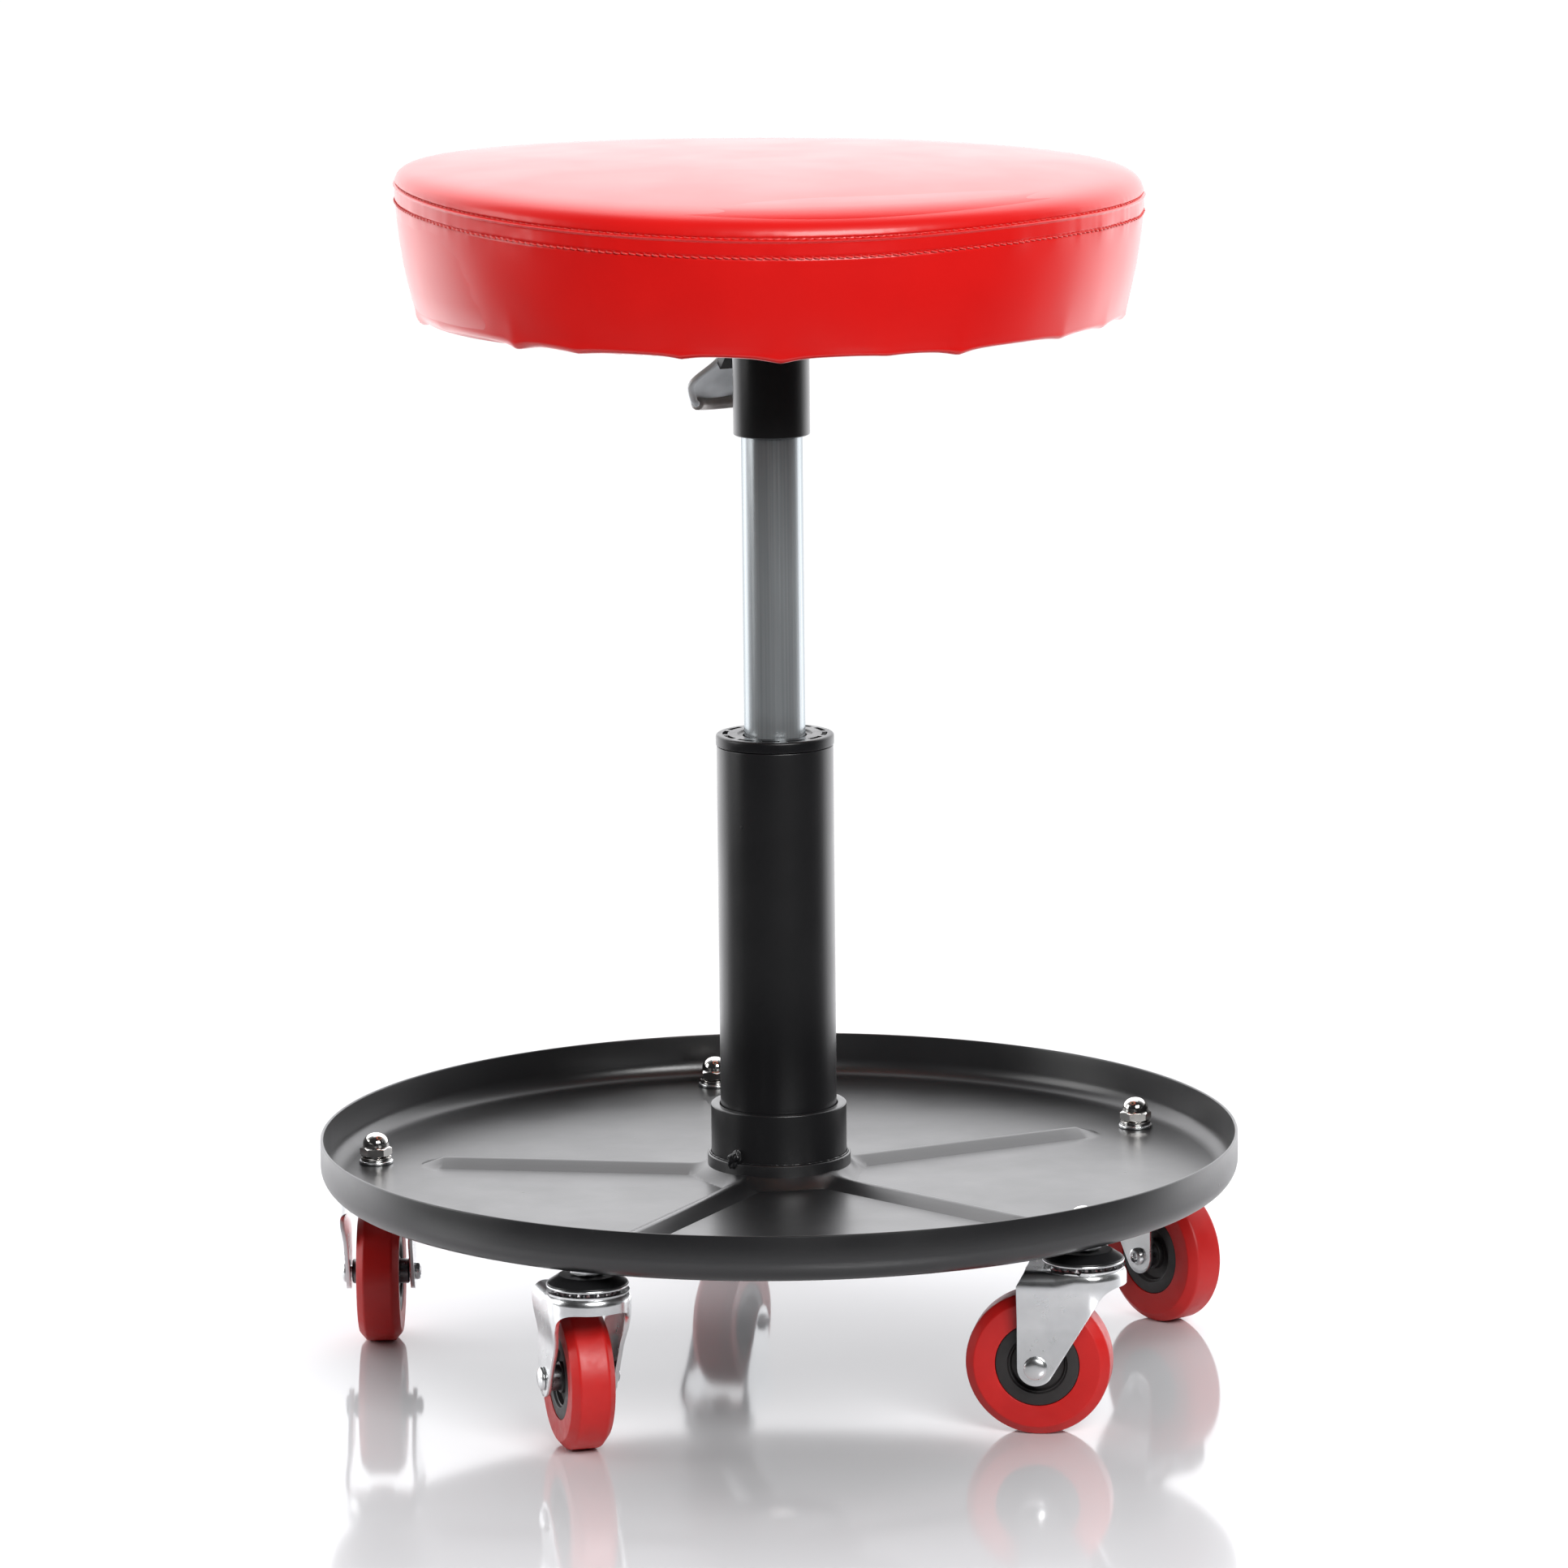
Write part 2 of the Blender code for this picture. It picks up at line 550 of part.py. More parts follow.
def fork_mesh():
    """A pressed fork: a channel with tapering legs, and a round crown with a raised raceway lip."""
    top, sheet = FORK_TOP_Z - 0.0010, FORK_SHEET
    corner = 0.003
    splay_top, splay_bottom = 0.070, 0.050
    outside = [
        (LEG_OUTSIDE, 0.020), (LEG_OUTSIDE, splay_bottom), (LEG_OUTSIDE_TOP, splay_top),
        (LEG_OUTSIDE_TOP, top - corner), (LEG_OUTSIDE_TOP - corner, top),
    ]
    inside = [
        (LEG_OUTSIDE - sheet, 0.020), (LEG_OUTSIDE - sheet, splay_bottom),
        (LEG_OUTSIDE_TOP - sheet, splay_top), (LEG_OUTSIDE_TOP - sheet, top - corner - 0.0006),
        (LEG_OUTSIDE_TOP - corner - 0.0006, top - sheet),
    ]
    left = [(-y, z) for y, z in outside[::-1]]
    hollow = [(-y, z) for y, z in inside]
    channel_outline = outside + left + hollow + inside[::-1]
    back, front = CASTER_TRAIL + LEG_END_RADIUS, -0.007
    channel = prism("channel", channel_outline, front - 0.005, back + 0.005, lengthways)

    axle_z = WHEEL_RADIUS
    reach = math.hypot(CASTER_TRAIL - front, axle_z - splay_top)
    lean = math.atan2(splay_top - axle_z, front - CASTER_TRAIL) + math.acos(LEG_END_RADIUS / reach)
    end = arc((CASTER_TRAIL, axle_z), LEG_END_RADIUS, 360, math.degrees(lean), 5)
    profile = [(back, 0.085)] + end + [(front, splay_top), (front, 0.085)]
    side = prism("side outline", profile, -0.03, 0.03, sideways)
    combine(channel, side, "INTERSECT")

    lip, bowl = FORK_TOP_Z, 0.0730
    crown = turned("crown", [
        (STEM_HOLE_RADIUS + 0.0003, bowl - sheet), (0.0135, bowl - sheet), (0.0172, bowl - 0.0030),
        (CROWN_RADIUS - 0.0006, bowl - 0.0026), (CROWN_RADIUS, bowl + 0.0010),
        (CROWN_RADIUS - 0.0008, lip - 0.0006), (CROWN_RADIUS - 0.0020, lip), (0.0160, lip - 0.0008),
        (0.0140, bowl), (STEM_HOLE_RADIUS + 0.0003, bowl),
    ], SMALL_FACETS)
    well = turned("well", cylinder_profile(0.0139, bowl + 0.00002, 0.085), SMALL_FACETS, closed=False)
    bore_profile = cylinder_profile(STEM_HOLE_RADIUS + 0.0002, 0.060, bowl + 0.001)
    bore = turned("bore", bore_profile, SMALL_FACETS, closed=False)
    axle_circle = arc((CASTER_TRAIL, axle_z), AXLE_RADIUS + 0.0004, 0, 330, 11)
    axle_hole = prism("axle hole", axle_circle, -0.03, 0.03, sideways)
    combine(channel, well, "DIFFERENCE")
    combine(channel, crown, "UNION")
    combine(channel, bore, "DIFFERENCE")
    combine(channel, axle_hole, "DIFFERENCE")
    return baked_mesh(channel)


def stem_mesh():
    """The kingpin: riveted foot, shank, hexagon under the tray and threaded end in the nut."""
    hex_bottom = RACE_TOP_Z + GAP
    hex_top = TRAY_FLOOR_Z - TRAY_SHEET - GAP
    rivet_top = 0.0710 - GAP
    shank = turned("shank", [
        (0, 0.0672), (0.0060, 0.0672), (0.0068, 0.0688), (0.0068, rivet_top), (STEM_RADIUS, rivet_top),
        (STEM_RADIUS, NUT_TOP_Z - 0.0045), (0, NUT_TOP_Z - 0.0045),
    ], TINY_FACETS, closed=False)
    collar = prism("hexagon", hexagon(0.0140), hex_bottom, hex_top)
    combine(shank, collar, "UNION")
    return baked_mesh(shank)


def race_mesh():
    """The upper race: a coned dish whose rim covers the balls."""
    sheet = 0.0014
    profile = [
        (STEM_HOLE_RADIUS, RACE_TOP_Z - sheet), (0.0120, RACE_TOP_Z - sheet),
        (RACE_RADIUS - sheet, RACE_RIM_Z), (RACE_RADIUS, RACE_RIM_Z),
        (RACE_RADIUS, RACE_RIM_Z + 0.0019), (0.0127, RACE_TOP_Z), (STEM_HOLE_RADIUS, RACE_TOP_Z),
    ]
    return baked_mesh(turned("race", profile, SMALL_FACETS))


def nut_mesh():
    """A domed cap nut: a hexagon with a round dome, open below for the stem."""
    bottom = TRAY_FLOOR_Z + 0.0036
    shoulder = bottom + 0.0040
    dome_radius = 0.0062
    hexagon_body = prism("nut body", hexagon(NUT_FLATS), bottom, shoulder)
    rise = NUT_TOP_Z - shoulder
    curve = [(dome_radius * math.cos(t), shoulder + rise * math.sin(t)) for t in (0.35, 0.85, 1.25)]
    dome_profile = [(0, shoulder - 0.001), (dome_radius, shoulder - 0.001)] + curve + [(0, NUT_TOP_Z)]
    dome = turned("dome", dome_profile, TINY_FACETS, closed=False)
    hole_profile = cylinder_profile(STEM_RADIUS + 0.0003, bottom - 0.002, NUT_TOP_Z - 0.0041)
    hole = turned("thread", hole_profile, TINY_FACETS, closed=False)
    combine(hexagon_body, dome, "UNION")
    combine(hexagon_body, hole, "DIFFERENCE")
    return baked_mesh(hexagon_body)


def washer_mesh():
    """A flat washer with a narrower spring washer on it."""
    bottom = TRAY_FLOOR_Z + GAP
    bore = STEM_HOLE_RADIUS
    profile = [
        (bore, bottom), (0.0078, bottom), (0.0078, bottom + 0.0012), (0.0068, bottom + 0.0012),
        (0.0068, bottom + 0.0030), (bore, bottom + 0.0030),
    ]
    return baked_mesh(turned("washers", profile, SMALL_FACETS))


def tyre_mesh():
    """A tyre with a flat tread and sloping shoulders, turned about its own axis."""
    tread = WHEEL_RADIUS / math.cos(math.pi / TYRE_FACETS)
    bore, half = HUB_RADIUS + 0.0004, WHEEL_WIDTH / 2
    profile = [
        (bore, -half + 0.0005), (tread - 0.0035, -half), (tread, -TREAD_WIDTH / 2),
        (tread, TREAD_WIDTH / 2), (tread - 0.0035, half), (bore, half - 0.0005),
    ]
    return baked_mesh(turned("tyre", profile, TYRE_FACETS, phase=math.pi / TYRE_FACETS))


def hub_mesh():
    """A hub with a recessed face on each side and a bearing sleeve that spaces it from the fork."""
    half, sleeve = WHEEL_WIDTH / 2 - 0.0007, LEG_OUTSIDE - FORK_SHEET - 0.0006
    recess, bore, boss = half - 0.0028, AXLE_RADIUS + 0.0005, 0.0062
    one_side = [
        (HUB_RADIUS, half), (HUB_RECESS_RADIUS + 0.001, half), (HUB_RECESS_RADIUS, recess),
        (boss, recess), (boss, sleeve), (bore, sleeve),
    ]
    other_side = [(radius, -height) for radius, height in one_side[::-1]]
    return baked_mesh(turned("hub", one_side + other_side, TINY_FACETS))


def axle_mesh():
    """A riveted axle with a domed head at each end."""
    leg, head = LEG_OUTSIDE + GAP, 0.0022
    one_side = [
        (AXLE_RADIUS, leg), (AXLE_HEAD_RADIUS, leg), (AXLE_HEAD_RADIUS * 0.86, leg + head * 0.65),
        (AXLE_HEAD_RADIUS * 0.45, leg + head), (0, leg + head),
    ]
    other_side = [(radius, -height) for radius, height in one_side[::-1]]
    return baked_mesh(turned("axle", other_side + one_side, TINY_FACETS, closed=False))


def make_casters(column):
    fixed = {
        "caster_stem": (stem_mesh(), BEARING_STEEL),
        "race_cap": (race_mesh(), BLACK_COAT),
        "spring_washer": (washer_mesh(), BRIGHT_ZINC),
        "acorn_nut": (nut_mesh(), BRIGHT_ZINC),
    }
    fork, axle, hub, tyre = fork_mesh(), axle_mesh(), hub_mesh(), tyre_mesh()
    for place, (angle, trail) in CASTERS.items():
        stem_guide = empty(f"stem axis {place}", swivel_place(angle), angle, column)
        for kind, (mesh, look) in fixed.items():
            finish(placed(f"{kind}_{place}", mesh, stem_guide), look)
        swivel = empty(f"swivel axis {place}", swivel_place(angle), trail, column)
        finish(placed(f"fork_{place}", fork, swivel), BRIGHT_ZINC)
        wheel = empty(f"wheel axis {place}", (CASTER_TRAIL, 0, WHEEL_RADIUS), 0, swivel)
        for kind, mesh, look in (("axle", axle, ZINC), ("hub", hub, DARK_PLASTIC), ("tyre", tyre, RED_RUBBER)):
            piece = finish(placed(f"{kind}_{place}", mesh, wheel), look)
            piece.rotation_euler = (math.radians(90), 0, 0)


def main():
    for obj in list(bpy.data.objects):
        bpy.data.objects.remove(obj)
    column = empty("column axis", (0, COLUMN_Y, 0))
    make_tray(column)
    make_column(column)
    make_gas_spring(column)
    make_seat(column)
    make_lever(empty("lever direction", (0, 0, 0), LEVER_ANGLE, column))
    make_casters(column)


main()
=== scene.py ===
"""The finished looks of a rolling mechanic's stool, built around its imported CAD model.

Metres, +Z up, in the CAD model's own frame. Sizes that the CAD model settles are read from it.
"""

import json
import math

import bmesh
import bpy
import numpy as np
from mathutils import Matrix, Vector, noise


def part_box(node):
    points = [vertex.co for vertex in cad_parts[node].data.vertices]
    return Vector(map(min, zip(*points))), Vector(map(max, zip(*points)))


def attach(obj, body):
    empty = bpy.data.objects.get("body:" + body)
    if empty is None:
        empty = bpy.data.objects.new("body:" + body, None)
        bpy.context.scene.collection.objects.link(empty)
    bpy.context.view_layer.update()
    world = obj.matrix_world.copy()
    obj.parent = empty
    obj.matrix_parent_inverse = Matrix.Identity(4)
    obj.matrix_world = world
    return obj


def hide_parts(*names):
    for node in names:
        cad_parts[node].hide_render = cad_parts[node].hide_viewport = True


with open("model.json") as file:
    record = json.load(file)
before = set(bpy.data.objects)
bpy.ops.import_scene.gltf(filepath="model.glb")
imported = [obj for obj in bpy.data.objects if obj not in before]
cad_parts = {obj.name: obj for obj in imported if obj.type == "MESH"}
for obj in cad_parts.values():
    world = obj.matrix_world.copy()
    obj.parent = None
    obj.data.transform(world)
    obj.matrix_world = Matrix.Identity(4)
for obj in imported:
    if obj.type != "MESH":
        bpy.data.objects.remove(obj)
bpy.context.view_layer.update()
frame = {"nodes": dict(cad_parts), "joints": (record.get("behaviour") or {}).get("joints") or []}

JOINTS = {joint["name"]: joint for joint in frame["joints"]}
PLACES = ["rear", "left", "front_left", "front_right", "right"]

TAU = math.tau
COLUMN = Vector(JOINTS["seat_swivel"]["pos_m"])
AXIS_X, AXIS_Y = COLUMN.x, COLUMN.y
COLUMN_FRAME = Matrix.Translation((AXIS_X, AXIS_Y, 0))


def top(node):
    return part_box(node)[1].z


def bottom(node):
    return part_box(node)[0].z


def radius(node):
    """Half a round node's width along X."""
    low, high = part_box(node)
    return (high.x - low.x) / 2


# --- Mesh helpers ------------------------------------------------------------------------------------

MERGE_DISTANCE = 2e-6
SLIVER = 1e-7
TUBE_UPRIGHT = Vector((0.13, 0.21, 0.97))  # a direction that no tube runs along
NUT_CHAMFER = math.radians(30)


def smooth_step(low, high, value):
    share = np.clip((value - low) / (high - low), 0.0, 1.0)
    return share * share * (3 - 2 * share)


def rounded(corners, steps=4):
    """A closed outline of (a, b, radius) corners, with each corner rounded."""
    points = []
    for i, (a, b, corner_radius) in enumerate(corners):
        here = Vector((a, b))
        before = Vector(corners[i - 1][:2]) - here
        after = Vector(corners[(i + 1) % len(corners)][:2]) - here
        if corner_radius == 0:
            points.append((a, b))
            continue
        reach = corner_radius / math.tan(before.angle(after) / 2)
        reach = min(reach, 0.48 * before.length, 0.48 * after.length)
        start = here + before.normalized() * reach
        end = here + after.normalized() * reach
        for k in range(steps + 1):
            share = k / steps
            points.append(tuple(start.lerp(here, share).lerp(here.lerp(end, share), share)))
    return points


def arc(centre, arc_radius, start, end, steps):
    """Points (a, b) on an arc, from one angle to another in degrees."""
    angles = [math.radians(start + (end - start) * i / steps) for i in range(steps + 1)]
    return [(centre[0] + arc_radius * math.cos(a), centre[1] + arc_radius * math.sin(a)) for a in angles]


def link(name, mesh, material, sharp=35.0):
    """An object that shows a smooth-shaded mesh."""
    mesh.shade_smooth()
    mesh.set_sharp_from_angle(angle=math.radians(sharp))
    mesh.materials.append(material)
    obj = bpy.data.objects.new(name, mesh)
    bpy.context.scene.collection.objects.link(obj)
    return obj


def clean_mesh(name, bm):
    """A mesh from bm, with its doubled points merged and its faces pointing outwards."""
    bmesh.ops.remove_doubles(bm, verts=bm.verts, dist=MERGE_DISTANCE)
    bmesh.ops.dissolve_degenerate(bm, edges=bm.edges, dist=SLIVER)
    bmesh.ops.recalc_face_normals(bm, faces=bm.faces)
    mesh = bpy.data.meshes.new(name)
    bm.to_mesh(mesh)
    bm.free()
    return mesh


def add_rings(bm, rings, closed=False):
    """Faces between rings of points; rings is an array of (ring, point, xyz)."""
    count, around = rings.shape[:2]
    verts = [[bm.verts.new(point) for point in ring] for ring in rings.tolist()]
    for i in range(count if closed else count - 1):
        low, high = verts[i], verts[(i + 1) % count]
        for j in range(around):
            k = (j + 1) % around
            bm.faces.new((low[j], low[k], high[k], high[j]))


def rings_mesh(name, rings, closed=False):
    bm = bmesh.new()
    add_rings(bm, np.asarray(rings, float), closed)
    return clean_mesh(name, bm)


def turned_rings(profile, around, phase=0.0):
    """A profile of (radius, height) points turned about Z, as rings."""
    profile = np.asarray(profile, float)
    angle = np.arange(around) / around * TAU + phase
    x = np.outer(profile[:, 0], np.cos(angle))
    y = np.outer(profile[:, 0], np.sin(angle))
    z = np.outer(profile[:, 1], np.ones(around))
    return np.stack([x, y, z], axis=2)


def turned_mesh(name, profile, around=96, closed=True):
    return rings_mesh(name, turned_rings(profile, around), closed)


def ring_profile(bore, outside, low, high, edge, steps=3):
    """A closed profile, for a ring or tube with rounded edges."""
    corners = [(bore, low, edge), (outside, low, edge), (outside, high, edge), (bore, high, edge)]
    return rounded(corners, steps)


def tube_mesh(name, path, tube_radius, sides=8, closed=False):
    """A round tube along a path of points."""
    points = [Vector(point) for point in path]
    count = len(points)
    rings = []
    for i, point in enumerate(points):
        before = points[i - 1] if closed or i > 0 else point
        after = points[(i + 1) % count] if closed or i < count - 1 else point
        along = (after - before).normalized()
        across = along.cross(TUBE_UPRIGHT).normalized()
        up = across.cross(along)
        size = tube_radius if closed or 0 < i < count - 1 else tube_radius * 0.5
        ring = [
            point + (across * math.cos(TAU * k / sides) + up * math.sin(TAU * k / sides)) * size
            for k in range(sides)
        ]
        rings.append([tuple(corner) for corner in ring])
    if not closed:
        rings.insert(0, [tuple(points[0])] * sides)
        rings.append([tuple(points[-1])] * sides)
    return rings_mesh(name, rings, closed)


def hexagon_radius(flats, angle):
    """How far a hexagon reaches in each direction; its flats face along Y."""
    turn = (angle + math.pi / 6) % (math.pi / 3) - math.pi / 6
    return flats / 2 / np.cos(np.pi / 6 - np.abs(turn))


def hexagon_rings(flats, profile, around=72):
    """Rings of a hexagonal bar whose corners are turned down to a profile of (radius, height)."""
    angle = np.arange(around) / around * TAU
    reach = hexagon_radius(flats, angle)
    rings = []
    for limit, height in profile:
        size = np.minimum(reach, limit)
        level = np.full(around, height)
        rings.append(np.stack([size * np.cos(angle), size * np.sin(angle), level], axis=1))
    return np.array(rings)


def hexagon_profile(flats, low, high, bore):
    """The profile of a nut's turned-down corners, from its bore at the bottom to its bore at the top."""
    steps, inset = 5, 0.0002
    corner = flats / math.sqrt(3)
    face = flats / 2 - inset
    drop = (corner - face) * math.tan(NUT_CHAMFER)
    shares = [k / steps for k in range(steps + 1)]
    below = [(face + (corner - face) * share, low + drop * share) for share in shares]
    above = [(face + (corner - face) * share, high - drop * share) for share in shares]
    return [(bore, low)] + below + above[::-1] + [(bore, high)]


def join_meshes(name, meshes):
    """One mesh from several; each may come with its own matrix."""
    bm = bmesh.new()
    for entry in meshes:
        mesh, matrix = entry if isinstance(entry, tuple) else (entry, Matrix.Identity(4))
        part = mesh.copy()
        part.transform(matrix)
        bm.from_mesh(part)
        bpy.data.meshes.remove(part)
    mesh = bpy.data.meshes.new(name)
    bm.to_mesh(mesh)
    bm.free()
    return mesh


def applied(obj):
    """Bakes an object's modifiers into its mesh."""
    bpy.context.view_layer.update()
    graph = bpy.context.evaluated_depsgraph_get()
    mesh = bpy.data.meshes.new_from_object(obj.evaluated_get(graph))
    obj.modifiers.clear()
    obj.data = mesh
    return obj


def bevel(obj, width, segments=2, angle=35.0):
    modifier = obj.modifiers.new("edges", "BEVEL")
    modifier.width = width
    modifier.segments = segments
    modifier.limit_method = "ANGLE"
    modifier.angle_limit = math.radians(angle)
    return obj


def place(obj, body, matrix=None, replaces=()):
    """Puts a piece where it belongs, on its CAD body."""
    if matrix is not None:
        obj.matrix_world = matrix
    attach(obj, body)
    if replaces:
        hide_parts(*replaces)
    return obj


# --- Materials ---------------------------------------------------------------------------------------


class Look:
    """A Principled material, with short ways to vary its colour, roughness and surface."""

    def __init__(self, name, colour, roughness, metallic=0.0, **more):
        self.material = bpy.data.materials.new(name)
        self.material.use_nodes = True
        self.tree = self.material.node_tree
        self.shader = self.tree.nodes["Principled BSDF"]
        self.colour = colour
        self.roughness = roughness
        self.normal = None
        self.set("Base Color", (*colour, 1.0))
        self.set("Roughness", roughness)
        self.set("Metallic", metallic)
        for key, value in more.items():
            self.set(key.replace("_", " ").title().replace("Ior", "IOR"), value)
        self.coordinates = self.node("ShaderNodeTexCoord").outputs["Object"]

    def set(self, socket, value):
        self.shader.inputs[socket].default_value = value

    def node(self, kind, **values):
        node = self.tree.nodes.new(kind)
        for key, value in values.items():
            setattr(node, key, value)
        return node

    def join(self, source, target):
        self.tree.links.new(source, target)

    def stretched(self, scale):
        """Object coordinates, scaled differently along each axis."""
        mapping = self.node("ShaderNodeMapping")
        mapping.inputs["Scale"].default_value = scale
        self.join(self.coordinates, mapping.inputs["Vector"])
        return mapping.outputs["Vector"]

    def noise(self, scale, detail=3.0, stretch=(1, 1, 1), rough=0.55):
        texture = self.node("ShaderNodeTexNoise")
        texture.inputs["Scale"].default_value = scale
        texture.inputs["Detail"].default_value = detail
        texture.inputs["Roughness"].default_value = rough
        self.join(self.stretched(stretch), texture.inputs["Vector"])
        return texture.outputs["Fac"]

    def cells(self, scale, feature="F1", stretch=(1, 1, 1)):
        texture = self.node("ShaderNodeTexVoronoi", feature=feature)
        texture.inputs["Scale"].default_value = scale
        self.join(self.stretched(stretch), texture.inputs["Vector"])
        return texture.outputs["Distance"]

    def ramp(self, source, stops):
        """Maps a value to greys; stops are (position, grey)."""
        ramp = self.node("ShaderNodeValToRGB")
        elements = ramp.color_ramp.elements
        while len(elements) < len(stops):
            elements.new(0.5)
        for element, (position, grey) in zip(elements, stops):
            element.position = position
            element.color = (grey, grey, grey, 1.0)
        self.join(source, ramp.inputs["Fac"])
        return ramp.outputs["Color"]

    def vary_colour(self, source, other, stops=((0.35, 0.0), (0.65, 1.0))):
        """Fades from the colour so far to another, where source is high."""
        mix = self.node("ShaderNodeMix", data_type="RGBA")
        socket = self.shader.inputs["Base Color"]
        if socket.is_linked:
            self.join(socket.links[0].from_socket, mix.inputs["A"])
        else:
            mix.inputs["A"].default_value = (*self.colour, 1.0)
        mix.inputs["B"].default_value = (*other, 1.0)
        self.join(self.ramp(source, stops), mix.inputs["Factor"])
        self.join(mix.outputs["Result"], socket)
        return self

    def vary_roughness(self, source, low, high):
        """Spreads the roughness from low to high over the middle range of a noise."""
        spread = self.node("ShaderNodeMapRange")
        spread.inputs["From Min"].default_value = 0.3
        spread.inputs["From Max"].default_value = 0.7
        spread.inputs["To Min"].default_value = low
        spread.inputs["To Max"].default_value = high
        self.join(source, spread.inputs["Value"])
        self.join(spread.outputs["Result"], self.shader.inputs["Roughness"])
        return self

    def bump(self, source, depth, strength=1.0):
        """Raises the surface by up to depth metres where source is high."""
        node = self.node("ShaderNodeBump")
        node.inputs["Distance"].default_value = depth
        node.inputs["Strength"].default_value = strength
        self.join(source, node.inputs["Height"])
        if self.normal is not None:
            self.join(self.normal, node.inputs["Normal"])
        self.normal = node.outputs["Normal"]
        self.join(self.normal, self.shader.inputs["Normal"])
        return self


def vinyl():
    look = Look("red vinyl", (0.84, 0.010, 0.008), 0.30, coat_weight=0.08, coat_roughness=0.28)
    look.vary_colour(look.noise(9.0, 3.0), (0.76, 0.008, 0.007))
    look.vary_roughness(look.noise(24.0, 2.0), 0.28, 0.32)
    look.bump(look.noise(130.0, 1.0), 0.00002, 0.25)
    return look.material


def thread():
    look = Look("red thread", (0.90, 0.075, 0.06), 0.5, sheen_weight=0.3)
    look.vary_colour(look.noise(700.0, 2.0), (0.74, 0.035, 0.03))
    look.bump(look.noise(2600.0, 1.0, (1.0, 1.0, 0.4)), 0.00008, 0.6)
    return look.material


def powder_coat(name, shine):
    look = Look(name, (0.009, 0.009, 0.010), 0.30, specular_ior_level=shine)
    look.vary_colour(look.noise(9.0, 3.0), (0.013, 0.013, 0.014))
    look.vary_roughness(look.noise(30.0, 3.0), 0.28, 0.33)
    look.bump(look.noise(650.0, 2.0), 0.00006, 0.35)
    specks = look.ramp(look.cells(46.0), ((0.0, 1.0), (0.045, 0.0)))
    look.bump(specks, 0.0002, 0.5)
    return look.material


def black_plastic():
    look = Look("black plastic", (0.007, 0.007, 0.008), 0.36, specular_ior_level=0.32)
    look.vary_roughness(look.noise(120.0, 4.0), 0.28, 0.36)
    look.bump(look.noise(1800.0, 2.0), 0.00002, 0.3)
    return look.material


def hub_plastic():
    look = Look("hub plastic", (0.030, 0.027, 0.027), 0.42)
    look.vary_colour(look.noise(60.0, 3.0), (0.022, 0.020, 0.020))
    look.vary_roughness(look.noise(300.0, 3.0), 0.40, 0.52)
    look.bump(look.noise(2200.0, 2.0), 0.00003, 0.5)
    return look.material


def tyre_rubber():
    look = Look("red tyre", (0.62, 0.011, 0.009), 0.46, subsurface_weight=0.04)
    look.vary_colour(look.noise(40.0, 4.0), (0.54, 0.009, 0.008))
    look.vary_roughness(look.noise(200.0, 4.0), 0.36, 0.50)
    look.bump(look.noise(900.0, 3.0), 0.00004, 0.5)
    scuffs = look.ramp(look.cells(150.0), ((0.0, 1.0), (0.05, 0.0)))
    look.bump(scuffs, 0.0001, 0.4)
    return look.material


def drawn_zinc():
    look = Look("drawn zinc tube", (0.60, 0.64, 0.66), 0.22, 0.74)
    look.set("Specular Tint", (0.36, 0.38, 0.39, 1.0))
    look.set("Specular IOR Level", 0.15)
    look.vary_colour(look.noise(70.0, 6.0, (14.0, 14.0, 0.05)), (0.49, 0.525, 0.545))
    look.vary_roughness(look.noise(130.0, 4.0, (5.0, 5.0, 0.12)), 0.19, 0.27)
    look.bump(look.noise(420.0, 2.0, (3.0, 3.0, 0.05)), 0.00003, 0.25)
    pits = look.ramp(look.cells(230.0), ((0.0, 0.0), (0.10, 1.0)))
    look.bump(pits, 0.00004, 0.3)
    return look.material


def bright_zinc():
    look = Look("bright zinc plate", (0.86, 0.875, 0.88), 0.24, 1.0)
    look.vary_colour(look.noise(90.0, 4.0), (0.79, 0.805, 0.815))
    look.vary_roughness(look.noise(200.0, 3.0), 0.20, 0.28)
    look.bump(look.noise(140.0, 2.0), 0.00002, 0.3)
    return look.material


def chrome():
    look = Look("polished nickel", (0.78, 0.765, 0.74), 0.07, 1.0)
    look.vary_colour(look.noise(400.0, 3.0), (0.70, 0.685, 0.66))
    look.vary_roughness(look.noise(600.0, 4.0), 0.05, 0.11)
    look.bump(look.noise(350.0, 2.0), 0.00004, 0.4)
    return look.material


def dark_steel():
    # Also the race balls' finish. There its darkness is painted shade: the dark balls stand in for the
    # shaded gap under the race cap.
    look = Look("oiled steel and painted race shade", (0.22, 0.22, 0.225), 0.32, 1.0)
    look.vary_colour(look.noise(300.0, 4.0), (0.14, 0.14, 0.145))
    look.vary_roughness(look.noise(500.0, 3.0), 0.24, 0.42)
    look.bump(look.noise(1200.0, 2.0), 0.00002, 0.5)
    return look.material


def grip_metal_and_sheen():
    # A silvery grip whose near-white base colour is partly painted light: it is raised to stand in for the
    # bright sheen reflected off the grip in the seat's shade.
    look = Look("cast grip with painted sheen", (0.86, 0.89, 0.91), 0.36, 0.15)
    look.vary_colour(look.noise(120.0, 4.0), (0.78, 0.81, 0.83))
    look.vary_roughness(look.noise(300.0, 4.0), 0.30, 0.46)
    look.bump(look.noise(700.0, 3.0), 0.00005, 0.5)
    return look.material


def grip_edge():
    # The lip is a darker brownish grey than the rest of the grip.
    look = Look("darker grip lip", (0.34, 0.315, 0.30), 0.42, 0.2)
    look.vary_colour(look.noise(160.0, 4.0), (0.26, 0.235, 0.22))
    look.vary_roughness(look.noise(300.0, 4.0), 0.36, 0.52)
    look.bump(look.noise(700.0, 3.0), 0.00004, 0.4)
    return look.material


